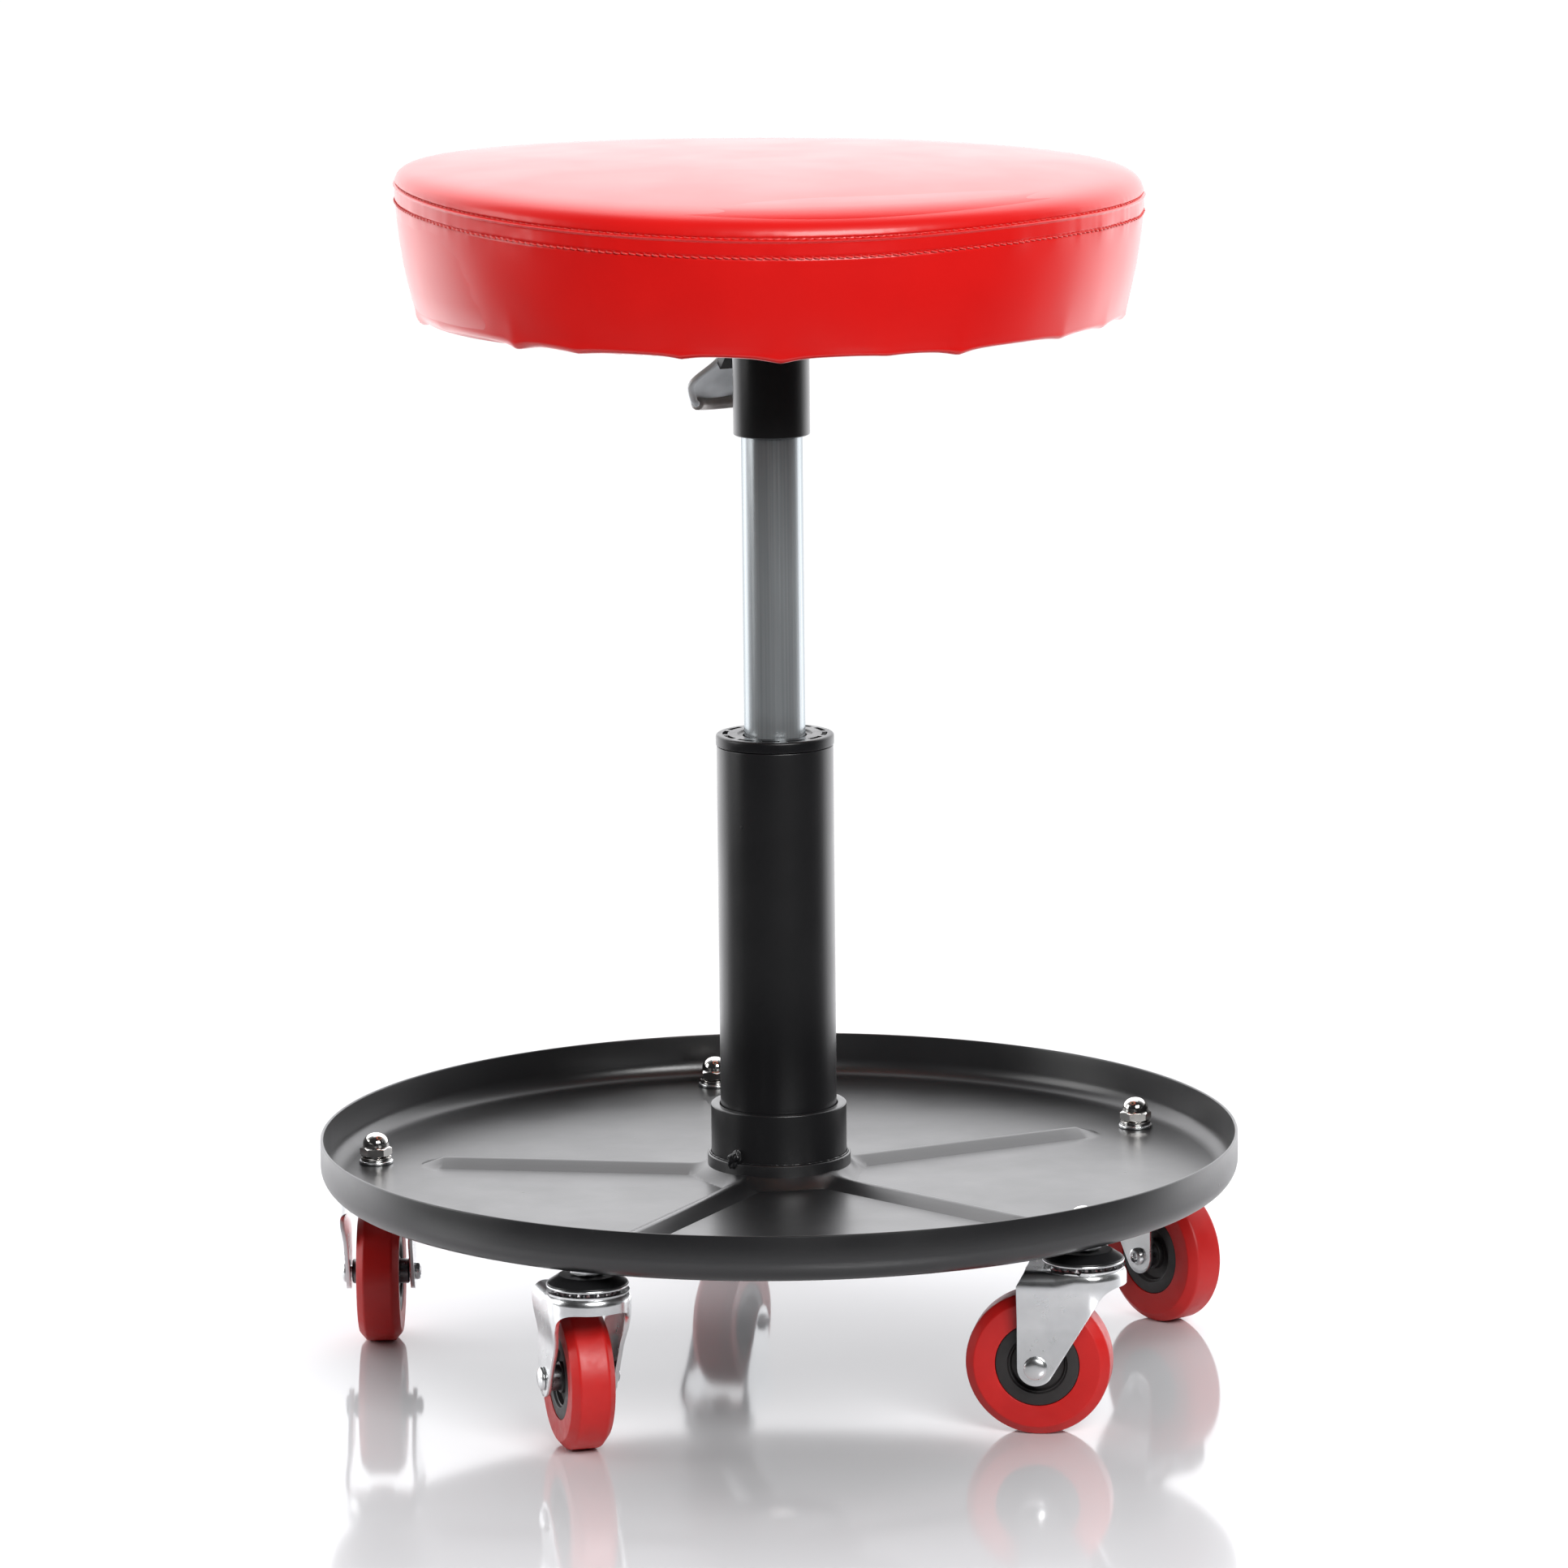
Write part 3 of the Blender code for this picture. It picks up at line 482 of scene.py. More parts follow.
def plywood():
    look = Look("plywood", (0.52, 0.36, 0.20), 0.68)
    look.vary_colour(look.noise(26.0, 6.0, (0.25, 4.0, 4.0)), (0.36, 0.22, 0.11), ((0.3, 0.0), (0.75, 1.0)))
    look.vary_roughness(look.noise(60.0, 4.0, (0.3, 3.0, 3.0)), 0.60, 0.80)
    look.bump(look.noise(160.0, 5.0, (0.1, 4.0, 4.0)), 0.00025, 0.6)
    return look.material


RED_VINYL = vinyl()
RED_THREAD = thread()
BLACK_COAT = powder_coat("black powder coat", 0.48)
TRAY_COAT = powder_coat("black tray coat", 0.82)
BLACK_PLASTIC = black_plastic()
HUB_PLASTIC = hub_plastic()
RED_TYRE = tyre_rubber()
DRAWN_ZINC = drawn_zinc()
BRIGHT_ZINC = bright_zinc()
CHROME = chrome()
DARK_STEEL = dark_steel()
GRIP_METAL_AND_SHEEN = grip_metal_and_sheen()
GRIP_EDGE = grip_edge()
PLYWOOD = plywood()


def repaint(node, material, bevel_width=0.0):
    """Gives a CAD node that keeps its own shape a finished material."""
    obj = frame["nodes"][node]
    obj.data.materials.clear()
    obj.data.materials.append(material)
    if bevel_width:
        bevel(obj, bevel_width)


# --- Camera, floor and light -------------------------------------------------------------------------

VIEW_TURN = math.radians(-9.34)  # the camera's direction round the column
VIEW_DISTANCE = 3.5534
VIEW_HEIGHT = 0.9175
VIEW_PITCH = math.radians(10.307)
VIEW_ROLL = math.radians(-0.6)
VIEW_LENS = 181.28
VIEW_SHIFT = 0.0055
FLOOR_RADIUS = 0.82
FLOOR_FADE = (0.54, 0.80)  # distances from the column where the floor starts and ends to fade
WORLD_STRENGTH = 2.6
WORLD_SEEN = 0.40  # the camera sees this share of the strength, a plain white


def make_camera():
    data = bpy.data.cameras.new("camera")
    data.lens = VIEW_LENS
    data.shift_x = VIEW_SHIFT
    camera = bpy.data.objects.new("camera", data)
    bpy.context.scene.collection.objects.link(camera)
    back = Vector((math.sin(VIEW_TURN), -math.cos(VIEW_TURN), 0))
    spot = Vector((AXIS_X, AXIS_Y, 0)) + back * VIEW_DISTANCE + Vector((0, 0, VIEW_HEIGHT))
    turn = Matrix.Rotation(VIEW_TURN, 4, "Z")
    pitch = Matrix.Rotation(math.pi / 2 - VIEW_PITCH, 4, "X")
    roll = Matrix.Rotation(VIEW_ROLL, 4, "Z")
    camera.matrix_world = Matrix.Translation(spot) @ turn @ pitch @ roll
    bpy.context.scene.camera = camera


def make_floor():
    """A glossy pale sheet that fades into the white studio."""
    corners, drop = 72, 0.00002
    outline = arc((AXIS_X, AXIS_Y), FLOOR_RADIUS, 0, 360 - 360 / corners, corners - 1)
    bm = bmesh.new()
    bm.faces.new([bm.verts.new((x, y, -drop)) for x, y in outline])
    mesh = bpy.data.meshes.new("floor")
    bm.to_mesh(mesh)
    bm.free()
    look = Look("studio floor", (0.76, 0.76, 0.775), 0.07)
    look.vary_roughness(look.noise(3.0, 3.0), 0.05, 0.09)
    distance = look.node("ShaderNodeVectorMath", operation="LENGTH")
    look.join(look.coordinates, distance.inputs[0])
    fade = look.ramp(distance.outputs["Value"], ((FLOOR_FADE[0], 1.0), (FLOOR_FADE[1], 0.0)))
    look.join(fade, look.shader.inputs["Alpha"])
    link("floor", mesh, look.material)


def make_world():
    """A bright backdrop behind, which fades past the sides to a dark room; the camera itself sees white."""
    world = bpy.data.worlds.new("studio")
    bpy.context.scene.world = world
    world.use_nodes = True
    tree = world.node_tree
    background = tree.nodes["Background"]
    coordinates = tree.nodes.new("ShaderNodeTexCoord")
    facing = tree.nodes.new("ShaderNodeVectorMath")
    facing.operation = "DOT_PRODUCT"
    facing.inputs[1].default_value = (-math.sin(VIEW_TURN), math.cos(VIEW_TURN), 0.0)
    spread = tree.nodes.new("ShaderNodeMapRange")
    spread.inputs["From Min"].default_value = -1.0
    ramp = tree.nodes.new("ShaderNodeValToRGB")
    stops = [
        (0.0, 0.008), (0.40, 0.014), (0.54, 0.07), (0.64, 0.24), (0.74, 0.88), (0.88, 1.0), (0.97, 0.80),
    ]
    elements = ramp.color_ramp.elements
    while len(elements) < len(stops):
        elements.new(0.5)
    for element, (position, grey) in zip(elements, stops):
        element.position = position
        element.color = (grey, grey, grey * 1.02, 1.0)
    brighter = tree.nodes.new("ShaderNodeMix")
    brighter.data_type = "RGBA"
    brighter.inputs["B"].default_value = (WORLD_SEEN, WORLD_SEEN, WORLD_SEEN, 1.0)
    path = tree.nodes.new("ShaderNodeLightPath")
    tree.links.new(coordinates.outputs["Generated"], facing.inputs[0])
    tree.links.new(facing.outputs["Value"], spread.inputs["Value"])
    tree.links.new(spread.outputs["Result"], ramp.inputs["Fac"])
    tree.links.new(ramp.outputs["Color"], brighter.inputs["A"])
    tree.links.new(path.outputs["Is Camera Ray"], brighter.inputs["Factor"])
    tree.links.new(brighter.outputs["Result"], background.inputs["Color"])
    background.inputs["Strength"].default_value = WORLD_STRENGTH


def area_light(name, spot, aim, width, height, power):
    data = bpy.data.lights.new(name, "AREA")
    data.shape = "RECTANGLE"
    data.size = width
    data.size_y = height
    data.energy = power
    light = bpy.data.objects.new(name, data)
    bpy.context.scene.collection.objects.link(light)
    light.location = spot
    light.rotation_mode = "QUATERNION"
    light.rotation_quaternion = (Vector(aim) - Vector(spot)).to_track_quat("-Z", "Y")


def make_lights():
    middle = (0, 0, 0.3)
    area_light("top softbox", (0.1, 0.5, 2.4), middle, 1.6, 0.9, 3.0)
    area_light("front softbox", (0.55, -2.50, 1.80), middle, 1.6, 1.1, 78.0)
    area_light("left softbox", (-2.45, 0.25, 0.95), middle, 1.1, 1.5, 17.0)


make_camera()
make_floor()
make_world()
make_lights()
view = bpy.context.scene.view_settings
view.view_transform = "Standard"
view.look = "None"

# --- Seat --------------------------------------------------------------------------------------------

SEAT_RADIUS = radius("seat_cover")
SEAT_TOP = top("seat_cover")
SEAT_BOTTOM = bottom("seat_cover")
SEAM_Z = SEAT_TOP - 0.0175
STITCH_Z = SEAT_TOP - 0.0252
CROWN_EDGE = 0.0106  # the height of the crown's tight edge; a gentle dome makes up the rest
HEM_RADIUS = 0.136  # where the cover's edge is stapled under the board
FOOT_RISE = 0.003  # the side ends and the hem turns under at this height above the seat's bottom
GATHERS = 22  # folds round the hem, one at each staple
STITCHES = 300  # round each row
VINYL = 0.0012
SWELL_START = 0.006  # the swelling's first row, this far along the outline from the middle
SWELL_SHARE = 0.4  # how much of the simulated swelling the cushion takes on
VIEW_FRONT = math.radians(-99.34)  # the direction from the column to the camera


def seat_outline():
    """The cushion's outline as a dense line of (radius, height), from its middle to its hem."""
    crown_rows, side_rows, bend_rows, hem_rows = 599, 119, 29, 59
    edge_power, dome_power = 30, 2.4  # the higher, the flatter the crown stays before it turns down
    dome = SEAT_TOP - SEAM_Z - CROWN_EDGE
    points = []
    for k in range(crown_rows + 1):
        share = math.sin(math.pi / 2 * k / crown_rows) ** 0.5
        rise = CROWN_EDGE * (1 - share**edge_power) ** 0.5 + dome * (1 - share**dome_power)
        points.append((SEAT_RADIUS * share, SEAM_Z + rise))
    taper_in, belly_out, foot_rise, foot_bend = 0.0083, 0.0011, 0.0025, 0.0037
    side_foot = SEAT_RADIUS - taper_in
    foot_z = SEAT_BOTTOM + foot_rise
    for k in range(1, side_rows + 1):
        height = SEAM_Z + (foot_z - SEAM_Z) * k / side_rows
        taper = max(0.0, (STITCH_Z - height) / (STITCH_Z - foot_z))
        belly = belly_out * math.sin(math.pi * taper)
        points.append((SEAT_RADIUS - taper_in * taper + belly, height))
    for k in range(1, bend_rows + 1):
        turn = math.pi / 2 * k / bend_rows
        points.append((side_foot - foot_bend * (1 - math.cos(turn)), foot_z - foot_rise * math.sin(turn)))
    under, hem_rise = points[-1][0], 0.0004
    for k in range(1, hem_rows + 1):
        share = k / hem_rows
        points.append((under + (HEM_RADIUS - under) * share, SEAT_BOTTOM + hem_rise * share))
    return np.array(points)


class Outline:
    """An outline that is read by the distance along it."""

    def __init__(self, points):
        self.points = points
        steps = np.hypot(*np.diff(points, axis=0).T)
        self.along = np.concatenate([[0.0], np.cumsum(steps)])
        self.length = self.along[-1]

    def at(self, distance):
        return np.stack([np.interp(distance, self.along, self.points[:, k]) for k in (0, 1)], axis=-1)

    def outward(self, distance):
        step = 0.0004
        along = self.at(np.minimum(distance + step, self.length)) - self.at(np.maximum(distance - step, 0))
        normal = np.stack([-along[..., 1], along[..., 0]], axis=-1)
        return normal / np.linalg.norm(normal, axis=-1, keepdims=True)

    def distance_at_height(self, height):
        """Where the outline comes down to a height on its side."""
        past_crown = 0.985
        start = np.argmax(self.points[:, 0] > SEAT_RADIUS * past_crown)
        heights = self.points[start:, 1]
        return self.along[start + np.argmax(heights <= height)]


def swelling(outline, seam, stitch, rows=46, columns=132):
    """How the vinyl swells over its foam: (rows, columns, radial and upward moves), by cloth simulation."""
    shrink, gather_depth = 0.0016, 0.0006
    distance = np.linspace(SWELL_START, outline.length, rows)
    start = outline.at(distance) - outline.outward(distance) * shrink
    angle = np.arange(columns) / columns * TAU
    gather = gather_depth * np.cos(GATHERS * angle)
    low = smooth_step(seam, outline.length, distance)
    radial = start[:, :1] + low[:, None] * gather[None, :]
    x, y = radial * np.cos(angle), radial * np.sin(angle)
    z = np.repeat(start[:, 1:], columns, axis=1)
    bm = bmesh.new()
    add_rings(bm, np.stack([x, y, z], axis=2))
    bmesh.ops.recalc_face_normals(bm, faces=bm.faces)
    mesh = bpy.data.meshes.new("cloth")
    bm.to_mesh(mesh)
    bm.free()
    cloth = bpy.data.objects.new("cloth", mesh)
    bpy.context.scene.collection.objects.link(cloth)

    sewn_reach, stapled_reach, sewn_hold = 0.003, 0.028, 0.55
    held = cloth.vertex_groups.new(name="held")
    for row in range(rows):
        sewn = min(abs(distance[row] - seam), abs(distance[row] - stitch)) < sewn_reach
        stapled = distance[row] > outline.length - stapled_reach
        if sewn or stapled:
            weight = 1.0 if stapled else sewn_hold
            held.add(list(range(row * columns, (row + 1) * columns)), weight, "REPLACE")
    settings = cloth.modifiers.new("cloth", "CLOTH").settings
    settings.quality = 5
    settings.mass = 0.25
    settings.tension_stiffness = 25
    settings.compression_stiffness = 25
    settings.shear_stiffness = 12
    settings.bending_stiffness = 2.0
    settings.use_pressure = True
    settings.uniform_pressure_force = 4.0
    settings.vertex_group_mass = "held"
    settings.effector_weights.gravity = 0.0
    scene = bpy.context.scene
    last_frame = 20
    for number in range(1, last_frame + 1):
        scene.frame_set(number)
    graph = bpy.context.evaluated_depsgraph_get()
    moved = cloth.evaluated_get(graph).to_mesh()
    flat = np.empty(len(moved.vertices) * 3)
    moved.vertices.foreach_get("co", flat)
    after = flat.reshape(rows, columns, 3)
    scene.frame_set(1)
    bpy.data.objects.remove(cloth)

    most, smoothings = 0.0016, 10
    outside = outline.at(distance)
    reach = np.hypot(after[..., 0], after[..., 1])
    grown = np.stack([reach - outside[:, :1], after[..., 2] - outside[:, 1:]], 2)
    size = np.linalg.norm(grown, axis=2, keepdims=True)
    grown = grown * np.minimum(1.0, most / np.maximum(size, SLIVER))
    for _ in range(smoothings):
        grown = (grown + np.roll(grown, 1, axis=1) + np.roll(grown, -1, axis=1)) / 3
        grown[1:-1] = (grown[2:] + grown[1:-1] + grown[:-2]) / 3
    return grown


def spread_field(field, outline, distance, columns):
    """Reads the coarse swelling at finer rows and columns."""
    rows, coarse = field.shape[:2]
    share = (distance - SWELL_START) / (outline.length - SWELL_START)
    place_in = np.clip(share, 0, 1) * (rows - 1)
    row = np.minimum(place_in.astype(int), rows - 2)
    row_share = (place_in - row)[:, None, None]
    turn = np.arange(columns) / columns * coarse
    column = turn.astype(int) % coarse
    column_share = (turn - turn.astype(int))[None, :, None]
    following = (column + 1) % coarse
    low = field[row][:, column] * (1 - column_share) + field[row][:, following] * column_share
    high = field[row + 1][:, column] * (1 - column_share) + field[row + 1][:, following] * column_share
    return low * (1 - row_share) + high * row_share


def bell(value, width):
    return np.exp(-((value / width) ** 2))


def round_bump(turn, centre, width):
    """A soft bump round one direction of the seat; all angles in radians."""
    offset = (turn - centre + math.pi) % TAU - math.pi
    return bell(offset, width)


def wander(angle, seed, lumps):
    """A smooth random line round the seat, from about -1 to 1."""
    values = [
        noise.noise(Vector((math.cos(a) * lumps, math.sin(a) * lumps, seed))) for a in np.asarray(angle)
    ]
    return np.array(values) * 2.0


def gather_shape(angle, spread):
    """How far the hem dips at each gather, from 0 between them to about 1 at a full one."""
    point_turn, point_power = math.radians(1.5), 1.4  # one gather points down, just right of the front
    narrow, widening = 1.9, 1.5  # degrees
    dip = np.zeros_like(angle)
    for k in range(GATHERS):
        wobble = 0.045 * math.sin(k * 2.4) + 0.02 * math.sin(k * 5.1)
        centre = VIEW_FRONT + point_turn + TAU / GATHERS * k + wobble
        size = 0.62 + 0.38 * math.sin(k * 3.7 + 1.2)
        width = math.radians(narrow + widening * (0.5 + 0.5 * math.sin(k * 2.9 + 0.6))) * spread
        offset = np.abs((angle - centre + math.pi) % TAU - math.pi)
        pointed = np.exp(-((offset / width) ** point_power))
        dip = np.maximum(dip, pointed * size)
    return dip


def row_distances(outline, seam, stitch, foot):
    """Where the cushion's rows lie along its outline: closest together at the seam, stitches and foot."""
    spans = [
        (0.0, seam - 0.026, 0.0045), (seam - 0.026, seam - 0.004, 0.0015),
        (seam - 0.004, seam + 0.002, 0.00032), (seam + 0.002, stitch - 0.002, 0.0007),
        (stitch - 0.002, stitch + 0.003, 0.00036), (stitch + 0.003, foot - 0.008, 0.0017),
        (foot - 0.008, foot + 0.008, 0.0007), (foot + 0.008, outline.length, 0.0018),
    ]
    runs = [np.linspace(a, b, max(2, round((b - a) / step)), endpoint=False) for a, b, step in spans]
    return np.concatenate(runs + [[outline.length]])


def sewn_relief(angle, distance, seam, stitch, foot):
    """How far seam, stitches, puckers and waves stand out along the outline's own normal."""
    from_seam = (distance - seam)[:, None]
    from_stitch = (distance - stitch)[:, None]
    pierced = (np.arange(len(angle)) % 2)[None, :]  # every other column runs through a needle hole
    ridge = 0.00075 * bell(from_seam - 0.0005, 0.00055)
    groove = (0.00080 + 0.00030 * pierced) * bell(from_seam + 0.0006, 0.00050)
    thread_bed = (0.00034 + 0.00050 * pierced) * bell(from_stitch, 0.00065)
    sewn = bell(from_stitch, 0.0032) + bell(from_seam, 0.0028)
    puckers = 0.00013 * wander(angle, 7.0, 46.0)[None, :] * sewn
    slack = 0.00035 * wander(angle, 3.0, 9.0)[None, :] * bell(from_stitch, 0.0060)
    side = smooth_step(stitch + 0.002, stitch + 0.020, distance)
    side = side * (1 - smooth_step(foot - 0.004, foot + 0.004, distance))
    waves = 0.00022 * wander(angle, 11.0, 5.0)[None, :] * side[:, None]
    return ridge - groove - thread_bed + puckers + slack + waves


def off_level(turn, distance, radial, seam, foot):
    """How far up the hand-pulled cover sits: higher on one side, lower in front and behind."""
    uneven = 0.0005 - 0.0028 * np.sin(turn) - 0.0023 * np.cos(2 * turn)
    turned_under = smooth_step(foot - 0.004, foot + 0.010, distance)[:, None]
    share = (radial / SEAT_RADIUS) ** 2 * (1 - 0.8 * turned_under)
    left_pull = 0.0030 * round_bump(turn, math.radians(-90), 0.6)
    right_pull = 0.0018 * round_bump(turn, math.radians(42), 0.45)
    by_seam = bell((distance - seam)[:, None] - 0.004, 0.013)
    return uneven * share + (left_pull + right_pull) * by_seam


def hem_moves(angle, distance, foot):
    """The hem's moves out and up: it arches between its gathers and folds where it turns under."""
    dip = gather_shape(angle, 0.8)[None, :]
    lump = gather_shape(angle, 1.5)[None, :]
    past_foot = (distance - foot)[:, None]
    arch = smooth_step(-0.024, 0.003, past_foot) ** 2 * (1 - smooth_step(0.003, 0.012, past_foot))
    folds = lump * bell(past_foot - 0.0065, 0.0042)
    pleats = np.abs(wander(angle, 19.0, 30.0))[None, :] * smooth_step(0.004, 0.014, past_foot)
    out = 0.0003 * dip * arch + 0.0012 * folds
    up = (0.0007 - 0.0013 * dip) * arch - 0.0015 * folds
    return out, up - 0.0009 * pleats + 0.0012 * smooth_step(0.012, 0.020, past_foot)


def make_seat():
    outline = Outline(seat_outline())
    seam = outline.distance_at_height(SEAM_Z)
    stitch = outline.distance_at_height(STITCH_Z)
    foot = outline.distance_at_height(SEAT_BOTTOM + FOOT_RISE)
    distance = row_distances(outline, seam, stitch, foot)
    columns = 2 * STITCHES
    angle = np.arange(columns) / columns * TAU

    base = outline.at(distance)
    normal = outline.outward(distance)
    swell = SWELL_SHARE * spread_field(swelling(outline, seam, stitch), outline, distance, columns)
    relief = sewn_relief(angle, distance, seam, stitch, foot)
    radial = base[:, :1] + swell[..., 0] + relief * normal[:, :1]
    height = base[:, 1:] + swell[..., 1] + relief * normal[:, 1:]
    height = height + off_level(angle[None, :] - VIEW_FRONT, distance, radial, seam, foot)
    hem_out, hem_up = hem_moves(angle, distance, foot)
    radial = radial + hem_out
    height = height + hem_up

    outer = np.stack([radial * np.cos(angle), radial * np.sin(angle), height], axis=2)
    inner_rows = 26
    inner_distance = np.linspace(outline.length, 0.0, inner_rows)
    inner_base = outline.at(inner_distance) - outline.outward(inner_distance) * VINYL
    inner_base[-1, 0] = 0.0
    inner = turned_rings(inner_base, columns)
    mesh = rings_mesh("seat_cushion", np.concatenate([outer, inner]))
    cushion = link("seat_cushion", mesh, RED_VINYL, 60.0)
    place(cushion, "seat", COLUMN_FRAME, ["seat_cover", "seat_foam"])

    row = np.argmin(np.abs(distance - stitch))
    make_stitches("topstitching", radial[row], height[row], 0.00055, 1.1)
    groove = 0.0006
    row = np.argmin(np.abs(distance - (seam - groove)))
    make_stitches("seam_stitching", radial[row], height[row], 0.00035, 0.8)
    make_staples()


def make_stitches(name, radial, height, standing, size):
    """A row of separate thread loops, each sunk into the vinyl at both ends."""
    thread_radius, slant, sink = 0.00034 * size, 0.00022 * size, 0.00042
    length_share, steps, sides = 0.84, 5, 6
    count = len(radial) // 2
    pitch = TAU / count
    meshes = []
    for k in range(count):
        reach = radial[2 * k] + standing
        path = []
        for step in range(steps + 1):
            share = step / steps - 0.5
            a = pitch * (k + share * length_share)
            out = reach - sink * (2 * share) ** 4
            level = height[2 * k] - slant * math.sin(math.pi * share)
            path.append((out * math.cos(a), out * math.sin(a), level))
        meshes.append(tube_mesh("stitch", path, thread_radius, sides))
    mesh = join_meshes(name, meshes)
    for part in meshes:
        bpy.data.meshes.remove(part)
    place(link(name, mesh, RED_THREAD, 60.0), "seat", COLUMN_FRAME)


def make_staples():
    """Wire staples that hold the hem to the board, two at each gather."""
    wire, half, legs, inset, wobble = 0.00045, 0.0048, 0.0022, 0.0065, 0.0012
    level = SEAT_BOTTOM - 0.0001
    path = [(-half, 0, level + legs), (-half, 0, level), (half, 0, level), (half, 0, level + legs)]
    staple = tube_mesh("staple", path, wire, 6)
    meshes = []
    for k in range(2 * GATHERS):
        a = VIEW_FRONT + TAU * (k + 0.3) / (2 * GATHERS)
        reach = HEM_RADIUS + inset + wobble * math.sin(k * 2.3)
        spot = Matrix.Translation((reach * math.cos(a), reach * math.sin(a), 0))
        meshes.append((staple, spot @ Matrix.Rotation(a + math.pi / 2 + 0.25 * math.sin(k * 1.7), 4, "Z")))
    staples = link("hem_staples", join_meshes("hem_staples", meshes), DARK_STEEL)
    place(staples, "seat", COLUMN_FRAME)


make_seat()
repaint("seat_board", PLYWOOD, 0.0006)
repaint("seat_plate", BLACK_COAT, 0.0005)

# --- Seat fixings and lever --------------------------------------------------------------------------

LEVER_PIVOT = Vector(JOINTS["lever_lift"]["pos_m"])
LEVER_TURN = math.atan2(LEVER_PIVOT.y - AXIS_Y, LEVER_PIVOT.x - AXIS_X)
LEVER_FRAME = COLUMN_FRAME @ Matrix.Rotation(LEVER_TURN, 4, "Z")
GRIP_SLOPE = math.radians(48)
GRIP_START = Vector((0.0300, 0, LEVER_PIVOT.z - 0.0030))  # where the grip leaves the arm, in LEVER_FRAME


def make_bolts():
    """Hexagon bolts with washer faces, under the seat plate."""
    flats, head_height, washer_height = 0.010, 0.0040, 0.0006
    washer_radius, shank_radius, around = 0.0049, 0.0030, 72
    for number in range(1, 5):
        node = f"seat_bolt_{number}"
        low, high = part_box(node)
        head_top = low.z + head_height
        washer_low = head_top - washer_height
        corners = hexagon_profile(flats, low.z, washer_low, washer_radius)[1:-1]
        head = hexagon_rings(flats, [(0.0, low.z)] + corners)
        rest = turned_rings([
            (washer_radius, washer_low), (washer_radius, head_top), (shank_radius, head_top),
            (shank_radius, high.z), (0.0, high.z),
        ], around)
        bolt = link(f"{node}_finished", rings_mesh(node, np.concatenate([head, rest])), BRIGHT_ZINC)
        spot = Matrix.Translation(((low.x + high.x) / 2, (low.y + high.y) / 2, 0))
        place(bolt, "seat", spot, [node])


def make_sleeve():
    """The sleeve under the seat plate, open on one side for the lever."""
    outside, low, high = radius("seat_sleeve"), bottom("seat_sleeve"), top("seat_sleeve")
    wall, around = 0.0030, 120
    slot_half, slot_low = 0.0068, LEVER_PIVOT.z - 0.0046
    profile = [
        (outside - 0.0005, low), (outside - 0.0001, low + 0.0004), (outside, low + 0.001),
        (outside, slot_low - 0.0006), (outside, slot_low),
        (outside, high - 0.001), (outside - 0.0003, high),
    ]
    bm = bmesh.new()
    add_rings(bm, turned_rings(profile, around))
    doomed = []
    for face in bm.faces:
        middle = face.calc_center_median()
        if middle.x > 0 and abs(middle.y) < slot_half and middle.z > slot_low:
            doomed.append(face)
    bmesh.ops.delete(bm, geom=doomed, context="FACES")
    sleeve = link("seat_sleeve_finished", clean_mesh("seat_sleeve_finished", bm), BLACK_COAT)
    solid = sleeve.modifiers.new("wall", "SOLIDIFY")
    solid.thickness = wall
    solid.offset = -1.0
    applied(sleeve)
    place(sleeve, "seat", LEVER_FRAME, ["seat_sleeve"])


def grip_point(u, v):
    """A point of the grip's inner face, and its outward direction; u is along it from 0 to 1, v across
    it from -1 to 1."""
    along = Vector((math.cos(GRIP_SLOPE), 0, -math.sin(GRIP_SLOPE)))
    outward = Vector((math.sin(GRIP_SLOPE), 0, math.cos(GRIP_SLOPE)))
    start, length, half_width, root_share = 0.002, 0.043, 0.0155, 0.22
    round_end, dish, lift = 0.006, 0.0045, 0.0033
    share = root_share + (1 - root_share) * float(smooth_step(0.28, 0.80, u))
    half = half_width * share * math.sqrt(1 - 0.34 * u**8)
    reach = start + length * u - round_end * v * v * u**3
    hollow = dish * (v * v * u + (max(0.0, u - 0.7) / 0.3) ** 2)
    centre = GRIP_START + along * reach + outward * (lift - hollow)
    return centre + Vector((0, half * v, 0)), outward


